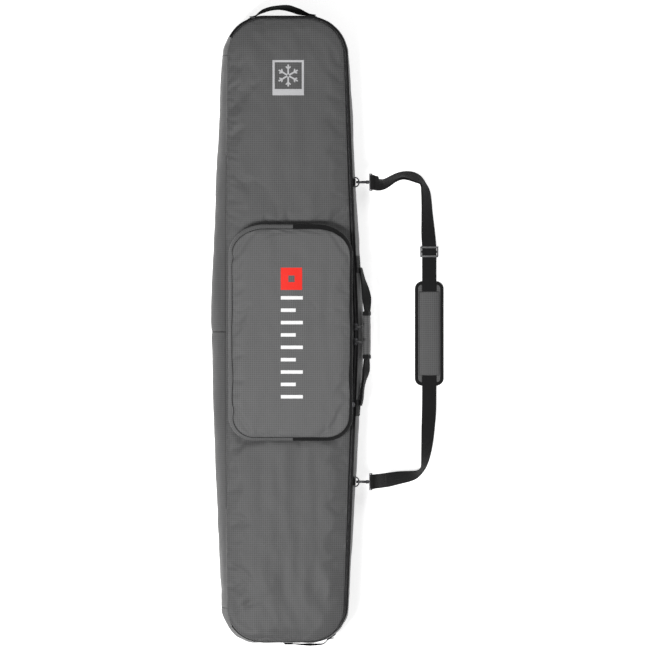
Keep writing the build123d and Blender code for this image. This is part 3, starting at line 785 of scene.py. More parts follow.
def with_folded_edge(name, grid, uvs, material, tuck=0.8, drop=1.2):
    """A grid whose border turns under, so that its edge has a thickness."""
    rows, cols = grid.shape[:2]
    points = grid.reshape(-1, 3)
    index = rim_loop(rows, cols)
    edge = points[index]
    along = np.roll(edge, -1, 0) - np.roll(edge, 1, 0)
    inward = np.stack([-along[:, 1], along[:, 0]], 1)
    inward /= np.maximum(np.linalg.norm(inward, axis=1), 1e-9)[:, None]
    folded = edge.copy()
    folded[:, :2] += inward * tuck
    folded[:, 2] -= drop
    faces = grid_faces(rows, cols)
    n = len(points)
    for k in range(len(index)):
        m = (k + 1) % len(index)
        faces.append((index[m], index[k], n + k, n + m))
    all_uvs = np.concatenate([uvs.reshape(-1, 2), uvs.reshape(-1, 2)[index] + 0.001])
    return make_object(name, np.concatenate([points, folded]) * MM, faces, all_uvs, material)


lid_held = (lid_d < 2.0) | (pocket_distance(lid_x, lid_y) < -4)
lid_points = inflate(np.stack([lid_x, lid_y, lid_z], 2), lid_held, 1.6, 0.02, 7.0)
lid_uvs = plan_uvs(lid_x, lid_y)
lid = with_folded_edge("lid_fabric", lid_points, lid_uvs, FABRIC)
dress(lid, "ripstop", TO_LID, "front_panel")

under_z = 124.9 + 1.4 * rise(lid_d, 25) + 0.25 * noise_field(lid_x, lid_y, 60, 120, 8.0)
under_x = lid_x + np.clip(2.0 - lid_d, 0, 2.0) * np.sign(5 - lid_x)
lid_lining = mm_grid("lid_lining", np.stack([under_x, lid_y, under_z], 2), LINING, lid_uvs, flip=True)
dress(lid_lining, "lining", TO_LID, "front_lining", "front_padding")

# ---------------------------------------------------------------- main zip

TAPE_Z = 125.5
TOOTH = 2.4               # pitch of the teeth
COIL_ACROSS = np.arange(5) * 0.5
open_points = np.flatnonzero(OPENING > 0.6)
ZIP = slice(open_points[0], open_points[-1] + 1)


def resample(line, spacing):
    """The same line with evenly spaced points."""
    length = arc_length(line)
    s = np.linspace(0, length[-1], int(length[-1] / spacing) + 1)
    return np.stack([np.interp(s, length, line[:, k]) for k in range(line.shape[1])], 1), s


def open_normals(line):
    along = np.gradient(line, axis=0)
    out = np.stack([-along[:, 1], along[:, 0]], 1)
    return out / np.linalg.norm(out, axis=1)[:, None]


def tape_strip(name, near, far, node, carrier):
    """Flat tape beside the zip's centre line, from near to far of it."""
    line, s = resample(CENTRE[ZIP], 5.0)
    out = open_normals(line)
    # round the tail the tape stays under the fabrics
    shown = np.interp(s, arc_length(CENTRE[ZIP]), OPENING[ZIP])
    share = 1 - np.clip(-1.5 * out[:, 1], 0, 1) * (1 - np.clip((shown / 2 + 1.4) / abs(far), 0, 1))
    offsets = np.linspace(near, far, 5)
    top = np.array([at_height(line + out * (offset * share)[:, None], TAPE_Z + dz)
                    for offset, dz in zip(offsets, (0.0, -0.15, -0.1, 0.1, 0.0))])
    bottom = top[::-1].copy()
    bottom[:, :, 2] -= 1.2
    grid = np.concatenate([top, bottom, top[:1]])
    across = np.concatenate([offsets, offsets[::-1], offsets[:1]])
    tape = mm_grid(name, grid, TAPE, strip_uvs(across, s), flip=near > far)
    dress(tape, "zip_tape", carrier, node)


def teeth(s, side):
    """How far a coil's teeth stand up along it, from 0 to 1; the two sides mesh."""
    return 0.5 + 0.5 * np.cos(2 * np.pi * s / TOOTH + (np.pi if side > 0 else 0))


def coil_strip(name, side, node, carrier):
    """Moulded coil: one low rounded tooth each pitch, on one side of the centre line."""
    line, s = resample(CENTRE[ZIP], TOOTH / 4)
    out = open_normals(line)
    lift = teeth(s, side)
    reach = 0.25 - 0.55 * (lift - 0.5)
    # where the fabrics almost meet, round the tail, the coil lies under them
    shown = np.interp(s, arc_length(CENTRE[ZIP]), OPENING[ZIP])
    sunk = np.where(line[:, 1] < 0, 2.2 * np.clip((2.9 - shown) / 1.2, 0, 1), 0)
    profile = ((reach, 125.7), (reach + 0.1, 126.3 + 0.5 * lift), (1.0, 126.5 + 0.6 * lift),
               (1.7, 126.2 + 0.5 * lift), (2.1, 125.5))
    rows = [at_height(line + out * (side * np.broadcast_to(o, s.shape))[:, None], z - sunk)
            for o, z in profile]
    coil = mm_grid(name, np.array(rows), COIL, strip_uvs(COIL_ACROSS, s), flip=side < 0)
    dress(coil, "zip_coil", carrier, node)


tape_strip("zip_tape_body", 0.3, 7.4, "main_zip_body_tape", "bag")
tape_strip("zip_tape_lid", -0.3, -7.4, "main_zip_lid_tape", TO_LID)
coil_strip("zip_coil_body", 1, "main_zip_body_coil", "bag")
coil_strip("zip_coil_lid", -1, "main_zip_lid_coil", TO_LID)

# ---------------------------------------------------------------- front pocket

HINGE_X = 11.5            # the fold of the flap
SIDE_P, ARC_P, END_P = 70, 22, 46     # points along a long side, a corner and half an end


def pocket_loop():
    """Closed loop from the hinge line at the nose end, round the right side to the tail and back."""
    left, right, tail, nose = (POCKET[key] for key in ("left", "right", "tail", "nose"))
    ang = np.linspace(0, np.pi / 2, ARC_P, endpoint=False)

    def run(a, b, count):
        return np.array(a) + (np.array(b) - a) * np.linspace(0, 1, count, endpoint=False)[:, None]

    def arc(cx, cy, start, end, radii):
        """A quarter of an ellipse from one axis direction to the next."""
        start, end = np.array(start, float), np.array(end, float)
        return np.array([cx, cy]) + (np.cos(ang)[:, None] * start + np.sin(ang)[:, None] * end) * radii

    (nx, ny), (tx, ty) = NOSE_CORNER, TAIL_CORNER
    return np.concatenate([
        run((HINGE_X, nose), (right - nx, nose), END_P),
        arc(right - nx, nose - ny, (0, 1), (1, 0), NOSE_CORNER),
        run((right, nose - ny), (right, tail + ty), SIDE_P),
        arc(right - tx, tail + ty, (1, 0), (0, -1), TAIL_CORNER),
        run((right - tx, tail), (HINGE_X, tail), END_P),
        run((HINGE_X, tail), (left + tx, tail), END_P),
        arc(left + tx, tail + ty, (0, -1), (-1, 0), TAIL_CORNER),
        run((left, tail + ty), (left, nose - ny), SIDE_P),
        arc(left + nx, nose - ny, (-1, 0), (0, 1), NOSE_CORNER),
        run((left + nx, nose), (HINGE_X, nose), END_P),
    ])


POCKET_LOOP = pocket_loop()
POCKET_OUT = ring_normals(POCKET_LOOP)
P_HINGE_TAIL = 2 * END_P + 2 * ARC_P + SIDE_P
P_RING = len(POCKET_LOOP)


def face_inset(loop):
    """How far the face's seam lies inside the pocket's widest line, for each point of the loop."""
    x, y = ring_normals(loop).T
    nose, tail, right, left = (np.clip(side, 0, 1) ** 2 for side in (y, -y, x, -x))
    return nose * 11.0 + tail * 8.0 + right * 6.5 + left * 9.0


FACE_INSET = face_inset(POCKET_LOOP)
FACE_SEAM_Z = 174.6
FACE_RING = POCKET_LOOP - POCKET_OUT * FACE_INSET[:, None]
# a dent in the left side near the nose and one near the tail, where the pocket folds
dents = falloff(POCKET_LOOP[:, 1] - 184, 11) + falloff(POCKET_LOOP[:, 1] + 205, 12)
dents = np.where(POCKET_LOOP[:, 0] < -120, dents, 0.0)
side_wave = np.array([noise.noise((y / 60, 4.4, 0.3)) for y in POCKET_LOOP[:, 1]])
long_sides = np.abs(POCKET_OUT[:, 0]) ** 3
FACE_RING = FACE_RING - POCKET_OUT * (3.2 * dents + 2.6 * side_wave * long_sides)[:, None]


def pocket_piece(name, profile, first, last, material, slot_name, carrier, *nodes):
    """Rows of the pocket's wall: profile holds (offset out, height, share of the face's inset)."""
    cols = np.arange(first, last + 1) % P_RING
    grid = np.array([at_height(POCKET_LOOP * (1 - share) + FACE_RING * share + POCKET_OUT * offset, z)[cols]
                     for offset, z, share in profile])
    for r in range(1, len(grid) - 1):
        for c in range(grid.shape[1]):
            x, y, z = grid[r, c]
            bulge = 0.6 * fbm(x / 40, y / 40, z / 14)
            grid[r, c, :2] += POCKET_OUT[(first + c) % P_RING] * bulge
    dress(mm_grid(name, grid, material), slot_name, carrier, *nodes)


LOW_WALL = ((-3.4, 130.0, 0), (-2.6, 134.5, 0), (-1.2, 139, 0), (-0.4, 144, 0), (0, 150, 0), (0, 156.2, 0))
HIGH_WALL = ((0, 166.8, 0), (0, 168.6, 0.1), (0, 170.4, 0.28), (0, 172.2, 0.55), (0, 173.8, 0.85),
             (0, 174.6, 1.0))
LEFT_WALL = LOW_WALL + ((0, 161.5, 0),) + HIGH_WALL
LOW_TAPE = ((0.2, 155.8, 0), (0.25, 158.5, 0), (0.1, 160.9, 0), (-1.0, 161.0, 0))
HIGH_TAPE = ((-1.0, 161.5, 0), (0.1, 161.6, 0), (0.25, 164.5, 0), (0.2, 166.9, 0))
pocket_piece("pocket_wall_left", LEFT_WALL, P_HINGE_TAIL, P_RING, POCKET_FABRIC_LIT, "ripstop", "lid",
             "pocket_gusset_left")
for name, profile, material, slot_name, carrier, nodes in (
        ("pocket_wall_right", LOW_WALL, POCKET_FABRIC_LIT, "ripstop", "lid", ["pocket_gusset_right"]),
        ("pocket_zip_tape_low", LOW_TAPE, TAPE, "zip_tape", "lid", ["pocket_zip_lower_tape"]),
        ("pocket_zip_tape_high", HIGH_TAPE, TAPE, "zip_tape", TO_FLAP, ["pocket_zip_upper_tape"]),
        ("pocket_binding", HIGH_WALL, TAPE, "zip_tape", TO_FLAP, [])):
    pocket_piece(name, profile, 0, P_HINGE_TAIL, material, slot_name, carrier, *nodes)

POCKET_COIL_Z = 161.3


def pocket_coil(name, side, carrier):
    """One side of the pocket's coil, which stands out from the wall."""
    line, s = resample(POCKET_LOOP[:P_HINGE_TAIL + 1], TOOTH / 4)
    out = open_normals(line)
    lift = teeth(s, side)
    reach = 0.25 - 0.5 * (lift - 0.5)
    profile = ((0.0, reach), (0.4 + 0.5 * lift, reach + 0.1), (0.5 + 0.5 * lift, 1.0),
               (0.3 + 0.3 * lift, 1.8), (-0.1, 2.2))
    rows = [at_height(line + out * np.broadcast_to(o, s.shape)[:, None], POCKET_COIL_Z + side * z)
            for o, z in profile]
    coil = mm_grid(name, np.array(rows), COIL, strip_uvs(COIL_ACROSS, s), flip=side > 0)
    dress(coil, "zip_coil", carrier)


pocket_coil("pocket_coil_low", -1, "lid")
pocket_coil("pocket_coil_high", 1, TO_FLAP)


def face_surface(x, y, d):
    seam = FACE_SEAM_Z + 1.5 * rise(d, 6)
    crown = 1.6 * (1 - falloff(d, 55))
    soft = 1.2 * noise_field(x, y, 48, 190, 31.0) + 1.0 * noise_field(x, y, 85, 80, 35.0)
    fine = 0.35 * noise_field(x, y, 22, 40, 38.0)
    puckers = 1.3 * seam_puckers(y + 0.3 * x, np.abs(d - 7), 9, 8.0, 13.0)
    corner_fold = 2.2 * falloff(np.hypot(x + 133, y - 184), 14) * np.sin((x - y) / 5.0)
    sag = -1.2 * falloff(x + 140, 26) * (y < 120)
    return seam + crown + (soft + fine) * (1 - falloff(d, 16)) + puckers + corner_fold + sag


(nx, _), (tx, _) = NOSE_CORNER, TAIL_CORNER
face_x, face_y = rows_inside(
    (FACE_RING[P_HINGE_TAIL:], FACE_RING[:P_HINGE_TAIL + 1][::-1]),
    (FACE_RING[:, 1].min(), FACE_RING[:, 1].max()), (POCKET["left"] + tx, POCKET["right"] - tx),
    (POCKET["left"] + nx, POCKET["right"] - nx), 46.0, 15, 90,
    np.array([0, 1.0, 2.4, 4.2, 6.5, 9.5, 13.5]), 250, 62)
face_d = edge_distance(face_x, face_y, FACE_RING)
face_z = face_surface(face_x, face_y, face_d)
face_z[face_d < 0.4] = FACE_SEAM_Z
face_points = inflate(np.stack([face_x, face_y, face_z], 2), face_d < 1.5, 1.0, 0.015, 4.0)
face = with_folded_edge("pocket_face_fabric", face_points, plan_uvs(face_x, face_y), POCKET_FABRIC_LIT, 0.4, 0.9)
dress(face, "ripstop", TO_FLAP, "pocket_face", "pocket_flap")


def tree_of(piece):
    return BVHTree.FromObject(piece, bpy.context.evaluated_depsgraph_get())


face_tree, lid_tree = tree_of(face), tree_of(lid)


def drop_on(tree, x, y, lift):
    hit = tree.ray_cast(Vector((x * MM, y * MM, 1.0)), Vector((0, 0, -1)))[0]
    return (hit.z / MM if hit else FACE_SEAM_Z) + lift


# ---------------------------------------------------------------- prints


PRINT_LIFT = 0.22


def print_shape(name, tree, material, quads, carrier):
    """Flat shapes that lie on a fabric, made of quads that are given by four corners in plan."""
    verts, faces, uvs = [], [], []
    for quad in quads:
        a, b, c, d = (np.array(p, float) for p in quad)
        nu = max(2, int(np.linalg.norm(b - a) / 4) + 2)
        nv = max(2, int(np.linalg.norm(d - a) / 4) + 2)
        start = len(verts)
        for v in np.linspace(0, 1, nv):
            for u in np.linspace(0, 1, nu):
                p = (a * (1 - u) + b * u) * (1 - v) + (d * (1 - u) + c * u) * v
                verts.append((p[0], p[1], drop_on(tree, p[0], p[1], PRINT_LIFT)))
                uvs.append((p[0] * MM, p[1] * MM))
        faces += grid_faces(nv, nu, start)
    dress(make_object(name, np.array(verts) * MM, faces, uvs, material), "ripstop", carrier)


def bar(x0, y0, x1, y1):
    return ((x0, y0), (x1, y0), (x1, y1), (x0, y1))


def ring_quads(cx, cy, outer, inner, sides, turn, stretch):
    """A flat ring with straight sides."""
    quads = []
    for k in range(sides):
        a, b = (turn + 2 * math.pi * i / sides for i in (k, k + 1))
        pa, pb = ((math.cos(t) * stretch[0], math.sin(t) * stretch[1]) for t in (a, b))
        quads.append(((cx + inner * pa[0], cy + inner * pa[1]), (cx + outer * pa[0], cy + outer * pa[1]),
                      (cx + outer * pb[0], cy + outer * pb[1]), (cx + inner * pb[0], cy + inner * pb[1])))
    return quads


def spoke(cx, cy, angle, near, far, half):
    c, s = math.cos(angle), math.sin(angle)
    return tuple((cx + c * r - s * w, cy + s * r + c * w)
                 for r, w in ((near, -half), (far, -half), (far, half), (near, half)))


BADGE = (-0.4, 649.5)     # middle of the snowflake, inside a plain frame
badge_quads = [bar(-40.5, 599, 39.7, 615), bar(-40.5, 683.5, 39.7, 689), bar(-40.5, 615, -35, 683.5),
               bar(34.2, 615, 39.7, 683.5)]
for k in range(6):
    angle = math.pi / 6 + k * math.pi / 3
    badge_quads.append(spoke(*BADGE, angle, 3, 28, 2.0))
    for turn in (-math.pi / 4, math.pi / 4):
        tip = (BADGE[0] + 17 * math.cos(angle), BADGE[1] + 17 * math.sin(angle))
        badge_quads.append(spoke(*tip, angle + turn, 0.5, 8.5, 1.6))
print_shape("badge_print", lid_tree, PRINT_GREY, badge_quads, "lid")

MARK = (8.0, 130.5)       # a square with a square hole
mark_quads = ring_quads(*MARK, 38.5, 11.5, 4, math.pi / 4, (1.0, 1.04))
print_shape("red_print", face_tree, PRINT_RED, mark_quads, TO_FLAP)

STRIPE_LEFT, STRIPE_PITCH, STRIPE_HALF = -19, 31.5, 4.4
stripe_quads = []
for k in range(9):
    y = 82.0 - k * STRIPE_PITCH
    length = 56.0 if k % 2 == 0 else 38.0
    stripe_quads.append(bar(STRIPE_LEFT, y - STRIPE_HALF, STRIPE_LEFT + length, y + STRIPE_HALF))
print_shape("white_print", face_tree, PRINT_WHITE, stripe_quads, TO_FLAP)

# ---------------------------------------------------------------- webbing helpers


def smooth_line(points, spacing=2.0):
    """Evenly spaced points on the NURBS spline through these control points, in millimetres."""
    data = bpy.data.curves.new("route", "CURVE")
    data.dimensions = "3D"
    data.resolution_u = 24
    spline = data.splines.new("NURBS")
    spline.points.add(len(points) - 1)
    for point, place in zip(spline.points, points):
        point.co = (*[value * MM for value in place], 1)
    spline.order_u = 3
    spline.use_endpoint_u = True
    carrier = bpy.data.objects.new("route", data)
    mesh = bpy.data.meshes.new_from_object(carrier)
    line = np.array([v.co for v in mesh.vertices], float) / MM
    bpy.data.objects.remove(carrier)
    bpy.data.curves.remove(data)
    bpy.data.meshes.remove(mesh)
    return resample(line, spacing)[0]


def unit(vectors):
    return vectors / np.maximum(np.linalg.norm(vectors, axis=-1, keepdims=True), 1e-9)


def ribbon_frames(line, widthwise, roll=None):
    """Width and face directions along a line; widthwise is one vector or one for each point."""
    tangent = unit(np.gradient(line, axis=0))
    wide = np.broadcast_to(np.array(widthwise, float), line.shape)
    wide = unit(wide - tangent * (wide * tangent).sum(1, keepdims=True))
    face = np.cross(tangent, wide)
    if roll is not None:
        c, s = np.cos(roll)[:, None], np.sin(roll)[:, None]
        wide, face = wide * c + face * s, face * c - wide * s
    return tangent, wide, face


# half of a webbing's section, from its left edge over the top to its right edge
WEB_HALF = ((-0.5, 0), (-0.485, 0.42), (-0.45, 0.5), (-0.22, 0.5), (0, 0.5), (0.22, 0.5), (0.45, 0.5),
            (0.485, 0.42))
WEB_PROFILE = np.array(WEB_HALF + tuple((-a, -b) for a, b in WEB_HALF))


def ribbon(name, line, widthwise, width, thickness, material, roll=None, lift=0.0, shift=0.0, cup=0.0):
    """Webbing along a line, with rounded edges and closed ends. cup bends it across its width."""
    wide, face = ribbon_frames(line, widthwise, roll)[1:]
    lift, shift, cup = (np.broadcast_to(value, len(line))[:, None] for value in (lift, shift, cup))
    rows = [line + wide * (a * width + shift) + face * (b * thickness + lift + cup * (4 * a * a - 1))
            for a, b in WEB_PROFILE]
    grid = np.array(rows).transpose(1, 0, 2)
    n, m = grid.shape[:2]
    s = arc_length(line)
    u = (WEB_PROFILE[:, 0] + 0.5) * width
    uvs = np.stack(np.broadcast_arrays(u[None], s[:, None]), 2)
    faces = grid_faces(n, m, 0, closed=True, flip=True)
    half = m // 2
    for row, order in ((0, 1), (n - 1, -1)):
        start = row * m
        for k in range(half):
            cap = dict.fromkeys((start + k, start + k + 1, start + (m - k - 1) % m, start + (m - k) % m))
            faces.append(tuple(cap)[::order])
    return make_object(name, grid.reshape(-1, 3) * MM, faces, uvs.reshape(-1, 2) * MM, material)


def stitch_run(line, frames, across=0.0, out=0.0, length=2.6, pitch=3.8, radius=0.28):
    """Vertices and faces of a row of short threads along a line, moved off it across and out."""
    tangent, wide, face = frames
    s = arc_length(line)
    verts, faces = [], []
    for start in np.arange(pitch / 2, s[-1] - pitch / 2, pitch):
        centre = np.array([np.interp(start, s, line[:, k]) for k in range(3)])
        k = int(np.searchsorted(s, start).clip(0, len(s) - 1))
        t, w, f = tangent[k], wide[k], face[k]
        centre = centre + w * across + f * out
        base = len(verts)
        for along, size in ((-0.5, 0.35), (-0.3, 1.0), (0.3, 1.0), (0.5, 0.35)):
            for angle in (0.25, 0.75, 1.25, 1.75):
                c, q = math.cos(angle * math.pi), math.sin(angle * math.pi)
                verts.append(centre + t * along * length + (w * c + f * q) * radius * size)
        for ring_row in range(3):
            for j in range(4):
                a, b = base + ring_row * 4 + j, base + ring_row * 4 + (j + 1) % 4
                faces.append((a, b, b + 4, a + 4))
        faces.append((base + 3, base + 2, base + 1, base))
        faces.append(tuple(base + 12 + j for j in range(4)))
    return verts, faces


def thread_piece(name, runs, slot_name, carrier):
    """One piece of thread, joined from the results of stitch_run."""
    verts, faces = [], []
    for v, f in runs:
        faces += [tuple(i + len(verts) for i in one) for one in f]
        verts += v
    thread = make_object(name, np.array(verts) * MM, faces, None, THREAD)
    dress(thread, slot_name, carrier)
    return thread


def stitches(name, rows, body):
    """One piece of thread for several rows of (line, width direction)."""
    runs = [stitch_run(line, ribbon_frames(line, widthwise)) for line, widthwise in rows]
    thread_piece(name, runs, "webbing", body)


# ---------------------------------------------------------------- shoulder strap

STRAP_WIDTH, STRAP_T = 37.0, 1.9
# x, y, z and the degrees by which the webbing is turned on edge
ROUTE = np.array([
    (214.5, 378, 114, 0), (224, 375, 111, 4), (238, 373, 98, 40), (258, 380, 72, 66),
    (282, 391, 46, 66), (302, 394.5, 33, 56), (320, 392.5, 25, 50), (332, 388, 20, 56),
    (340.5, 381.5, 19, 68), (344.5, 375, 18.8, 73), (348, 366, 18, 64), (350.7, 356, 17, 54),
    (352.8, 345, 16, 50), (355, 315, 14, 42), (357.3, 275, 11, 28), (359.6, 238, 8, 9),
    (361.5, 215, 7, 0), (361.5, 187, 7, 0), (361.5, 160, 7.5, 0), (361.5, 128, 7.3, 0),
    (361.5, 60, 7, 0), (361.5, -9, 7, 0), (361.5, -78, 7, 0), (361.5, -146, 7.3, 0),
    (361.5, -180, 7.3, 0), (361, -212, 7.2, 4), (359.3, -240, 8.5, 16), (357.2, -275, 12, 28),
    (354.8, -303, 15, 40), (352, -325, 16.5, 50), (348.6, -345, 18, 63), (344.3, -358, 18.8, 73),
    (335.5, -367, 18.8, 66), (321, -373.8, 18, 48), (302, -377.3, 18, 36), (282, -380, 25, 24),
    (258, -384, 48, 8), (238, -386, 80, 0), (224, -387, 106, 0), (214.5, -388, 114, 0),
])
strap_line = smooth_line([tuple(point[:3]) for point in ROUTE], 3.0)
strap_s = arc_length(strap_line)


def level_across(line):
    """Level width directions: along Y where the strap leaves the hooks, across its run on the floor."""
    tangent = unit(np.gradient(line, axis=0))
    return unit(np.stack([-tangent[:, 1], tangent[:, 0], np.zeros(len(line))], 1))


strap_wide = level_across(strap_line)
route_s = [strap_s[np.argmin(np.linalg.norm(strap_line - point[:3], axis=1))] for point in ROUTE]
strap_roll = -np.radians(np.interp(strap_s, route_s, ROUTE[:, 3]))
strap_roll = np.convolve(np.pad(strap_roll, 2, "edge"), np.ones(5) / 5, "valid")
strap_cup = 0.8 * falloff(strap_s - 200, 60) + 0.6 * falloff(strap_s - (strap_s[-1] - 260), 80)


def strap_ply(name, part, width, nodes=(), **shape):
    """A layer of the strap's webbing over the part of its length that is chosen."""
    layer = ribbon(name, strap_line[part], strap_wide[part], width, STRAP_T, WEBBING, strap_roll[part],
                   **shape)
    dress(layer, "webbing", "bag", *nodes)
    return layer


strap = strap_ply("strap_webbing", strap_s >= 0, STRAP_WIDTH, ("strap_webbing_upper", "strap_webbing_lower"),
                  cup=strap_cup)

ADJUSTER_Y = 201.0
at_adjuster = np.argmin(np.abs(strap_line[:, 1] - ADJUSTER_Y) + 1000 * (strap_line[:, 0] < 300))
upper = strap_s < strap_s[at_adjuster] - 12
ply_s = strap_s[upper]
apart = STRAP_T + 0.35 + 2.6 * falloff(ply_s - 95, 40) + 0.8 * falloff(ply_s - 210, 30)
ply = strap_ply("strap_doubled_ply", upper, STRAP_WIDTH - 0.5, lift=apart, shift=1.6 * np.sin(ply_s / 55.0))
tail_ply = strap_ply("strap_sewn_ply", strap_s > strap_s[-1] - 62, STRAP_WIDTH - 0.4, lift=STRAP_T + 0.15)


def turned(bar_x, bar_z, radius, y, angle):
    """Points round a bar that lies along Y."""
    x, z = bar_x + radius * np.cos(angle), bar_z + radius * np.sin(angle)
    return np.stack([x, np.full(len(angle), y), z], 1)


def eye_loop(name, y):
    """Webbing turned round the swivel's bar."""
    line = turned(213.0, 114.0, 3.1, y, np.linspace(-0.55 * np.pi, 0.62 * np.pi, 17) + np.pi)
    head = np.array([(line[0][0] + 6, y, line[0][2] - 0.6)])
    foot = np.array([(line[-1][0] + 5, y, line[-1][2] - 1.2)])
    line = np.concatenate([head, line, foot])
    loop = ribbon(name, line, (0, 1, 0), STRAP_WIDTH, STRAP_T, WEBBING)
    dress(loop, "webbing", "bag")
    return loop


loop_upper = eye_loop("strap_loop_upper", 378.0)
loop_lower = eye_loop("strap_loop_lower", -388.0)

# stitches along the sewn lower end and the doubled upper end, near both edges
strap_frames = ribbon_frames(strap_line, strap_wide, strap_roll)
lower_sewn = (strap_s > strap_s[-1] - 58) & (strap_s < strap_s[-1] - 14)
upper_sewn = (strap_s > 16) & (strap_s < 40)
strap_runs = [stitch_run(strap_line[part], [frame[part] for frame in strap_frames], side * 15.5, out)
              for part, out in ((lower_sewn, STRAP_T * 1.5 + 0.35), (upper_sewn, STRAP_T * 1.5 + 0.6))
              for side in (-1, 1)]
strap_thread = thread_piece("strap_thread", strap_runs, "webbing", "bag")

# ---------------------------------------------------------------- shoulder pad

PAD_X, PAD_Y = 361.5, -9.0
PAD_HALF = (37.0, 134.5)


def shut(loop):
    """The loop with its first point again at its end."""
    return np.concatenate([loop, loop[:1]])


def rounded_rect(half_x, half_y, radius):
    points = []
    for sx, sy, start in ((1, 1, 0), (-1, 1, 90), (-1, -1, 180), (1, -1, 270)):
        cx, cy = sx * (half_x - radius), sy * (half_y - radius)
        ang = np.radians(start + np.linspace(0, 90, 10))
        points.append(np.stack([cx + radius * np.cos(ang), cy + radius * np.sin(ang)], 1))
    return resample(shut(np.concatenate(points)), 3.0)[0][:-1]


def pad_binding():
    """Rounded tape folded round the pad's edge."""
    outer = rounded_rect(*PAD_HALF, 19)
    out = -ring_normals(outer)
    profile = ((-8.6, 1.0), (-8.4, 5.3), (-7.6, 6.3), (-5.0, 6.7), (-2.4, 6.2), (-0.7, 4.9), (0, 3.2),
               (-0.5, 1.5), (-2.4, 0.5), (-5.0, 0.35), (-8.0, 0.5))
    s = arc_length(shut(outer))
    ripple = np.array([0.35 * noise.noise((a / 9.0, 2.2, 0.0)) for a in s[:-1]])
    rows = [at_height(outer + (PAD_X, PAD_Y) + out * offset, z + ripple * (z > 3)) for offset, z in profile]
    grid = shut(np.array(rows))
    closed = np.concatenate([grid, grid[:, :1]], 1)
    uvs = strip_uvs(np.arange(len(grid)) * 2.2, s)
    binding = grid_object("pad_binding_tape", closed * MM, uvs, BINDING)
    dress(binding, "pad_binding", "shoulder_pad", "shoulder_pad_binding")
    return binding


def pad_panel(name, half_x, half_y, z_at, node, slot_name):
    """A padded panel: a crowned top whose border turns under, with points closer near the border."""
    even = (np.linspace(-1, 1, 29), np.linspace(-1, 1, 73))
    u, v = (np.sign(t) * (1 - (1 - np.abs(t)) ** 1.35) for t in even)
    x, y = np.meshgrid(u * half_x, v * half_y)
    d = np.minimum(half_x - np.abs(x), half_y - np.abs(y))
    top = np.stack([x + PAD_X, y + PAD_Y, z_at(x, y, d)], 2)
    panel = with_folded_edge(name, top, plan_uvs(x, y), FABRIC, 0.5, 1.5)
    dress(panel, slot_name, "shoulder_pad", node)
    return panel


def pad_face_z(x, y, d):
    """Tight over the webbing's tunnel, sewn down along both sides."""
    tunnel = 10.3 - 4.6 * (np.abs(x) / 28.5) ** 3.2
    ends = 9.5 - 0.8 * falloff(134 - 8 - np.abs(y), 20)
    z = np.minimum(tunnel, ends + 1.2)
    z = z - 3.4 * falloff(d, 1.6)
    return z + 0.28 * noise_field(x, y, 17, 44, 61.0) * (1 - falloff(d, 5))


def pad_base_z(x, y, d):
    grain = 0.15 * noise_field(x, y, 20, 30, 66.0)
    return 4.6 + 0.5 * (1 - falloff(d, 5)) + grain - 0.9 * falloff(np.abs(x), 17)


binding = pad_binding()
pad_base = pad_panel("pad_base_panel", 28.8, 126.4, pad_base_z, "shoulder_pad_base", "foam")
pad_face = pad_panel("pad_face_panel", 28.4, 109.0, pad_face_z, "shoulder_pad_face", "ripstop")
under_loop = rounded_rect(PAD_HALF[0] - 7, PAD_HALF[1] - 7, 7)
under_grid = []
for share in (1.0, 0.7, 0.4, 0.12):
    plan = under_loop * np.array([share, 1 - (1 - share) * 0.35]) + (PAD_X, PAD_Y)
    under_grid.append(at_height(plan, 0.45 + 0.25 * (1 - share)))
under_grid = np.array(under_grid)
under_uvs = plan_uvs(under_grid[..., 0], under_grid[..., 1])
pad_under = mm_grid("pad_under_panel", under_grid, LINING, under_uvs, closed=True)
dress(pad_under, "foam", "shoulder_pad")

seam_rows = []
for side in (-1, 1):
    y = np.linspace(-103, 103, 110)
    x = np.full(110, side * 26.2)
    z = pad_face_z(x, y, np.full(110, 2.2)) + 0.15
    seam_rows.append((np.stack([x + PAD_X, y + PAD_Y, z], 1), (1, 0, 0)))
for end in (-1, 1):
    x = np.linspace(-25, 25, 26)
    y = np.full(26, end * 105.5)
    z = pad_face_z(x, y, np.full(26, 3.5)) + 0.2
    seam_rows.append((np.stack([x + PAD_X, y + PAD_Y, z], 1), (0, 1, 0)))
stitches("pad_thread", seam_rows, "shoulder_pad")

# ---------------------------------------------------------------- patches on the wall

wall_trees = {side: tree_of(bpy.data.objects[side])
              for side in ("right_gusset_fabric", "nose_gusset_fabric", "tail_gusset_fabric")}


def wall_point(side, across, z, lift, direction=(-1, 0, 0)):
    """Point on a gusset, seen along direction and lifted off it. across is its Y, or its X at an end."""
    aim = Vector(direction)
    start = Vector((1.0, across * MM, z * MM) if aim.x else (across * MM, -1.5 * aim.y, z * MM))
    hit, normal = wall_trees[side].ray_cast(start, aim)[:2]
    if normal.dot(aim) > 0:
        normal = -normal
    return np.array(hit + normal * lift * MM) / MM


PATCH_T = 1.6


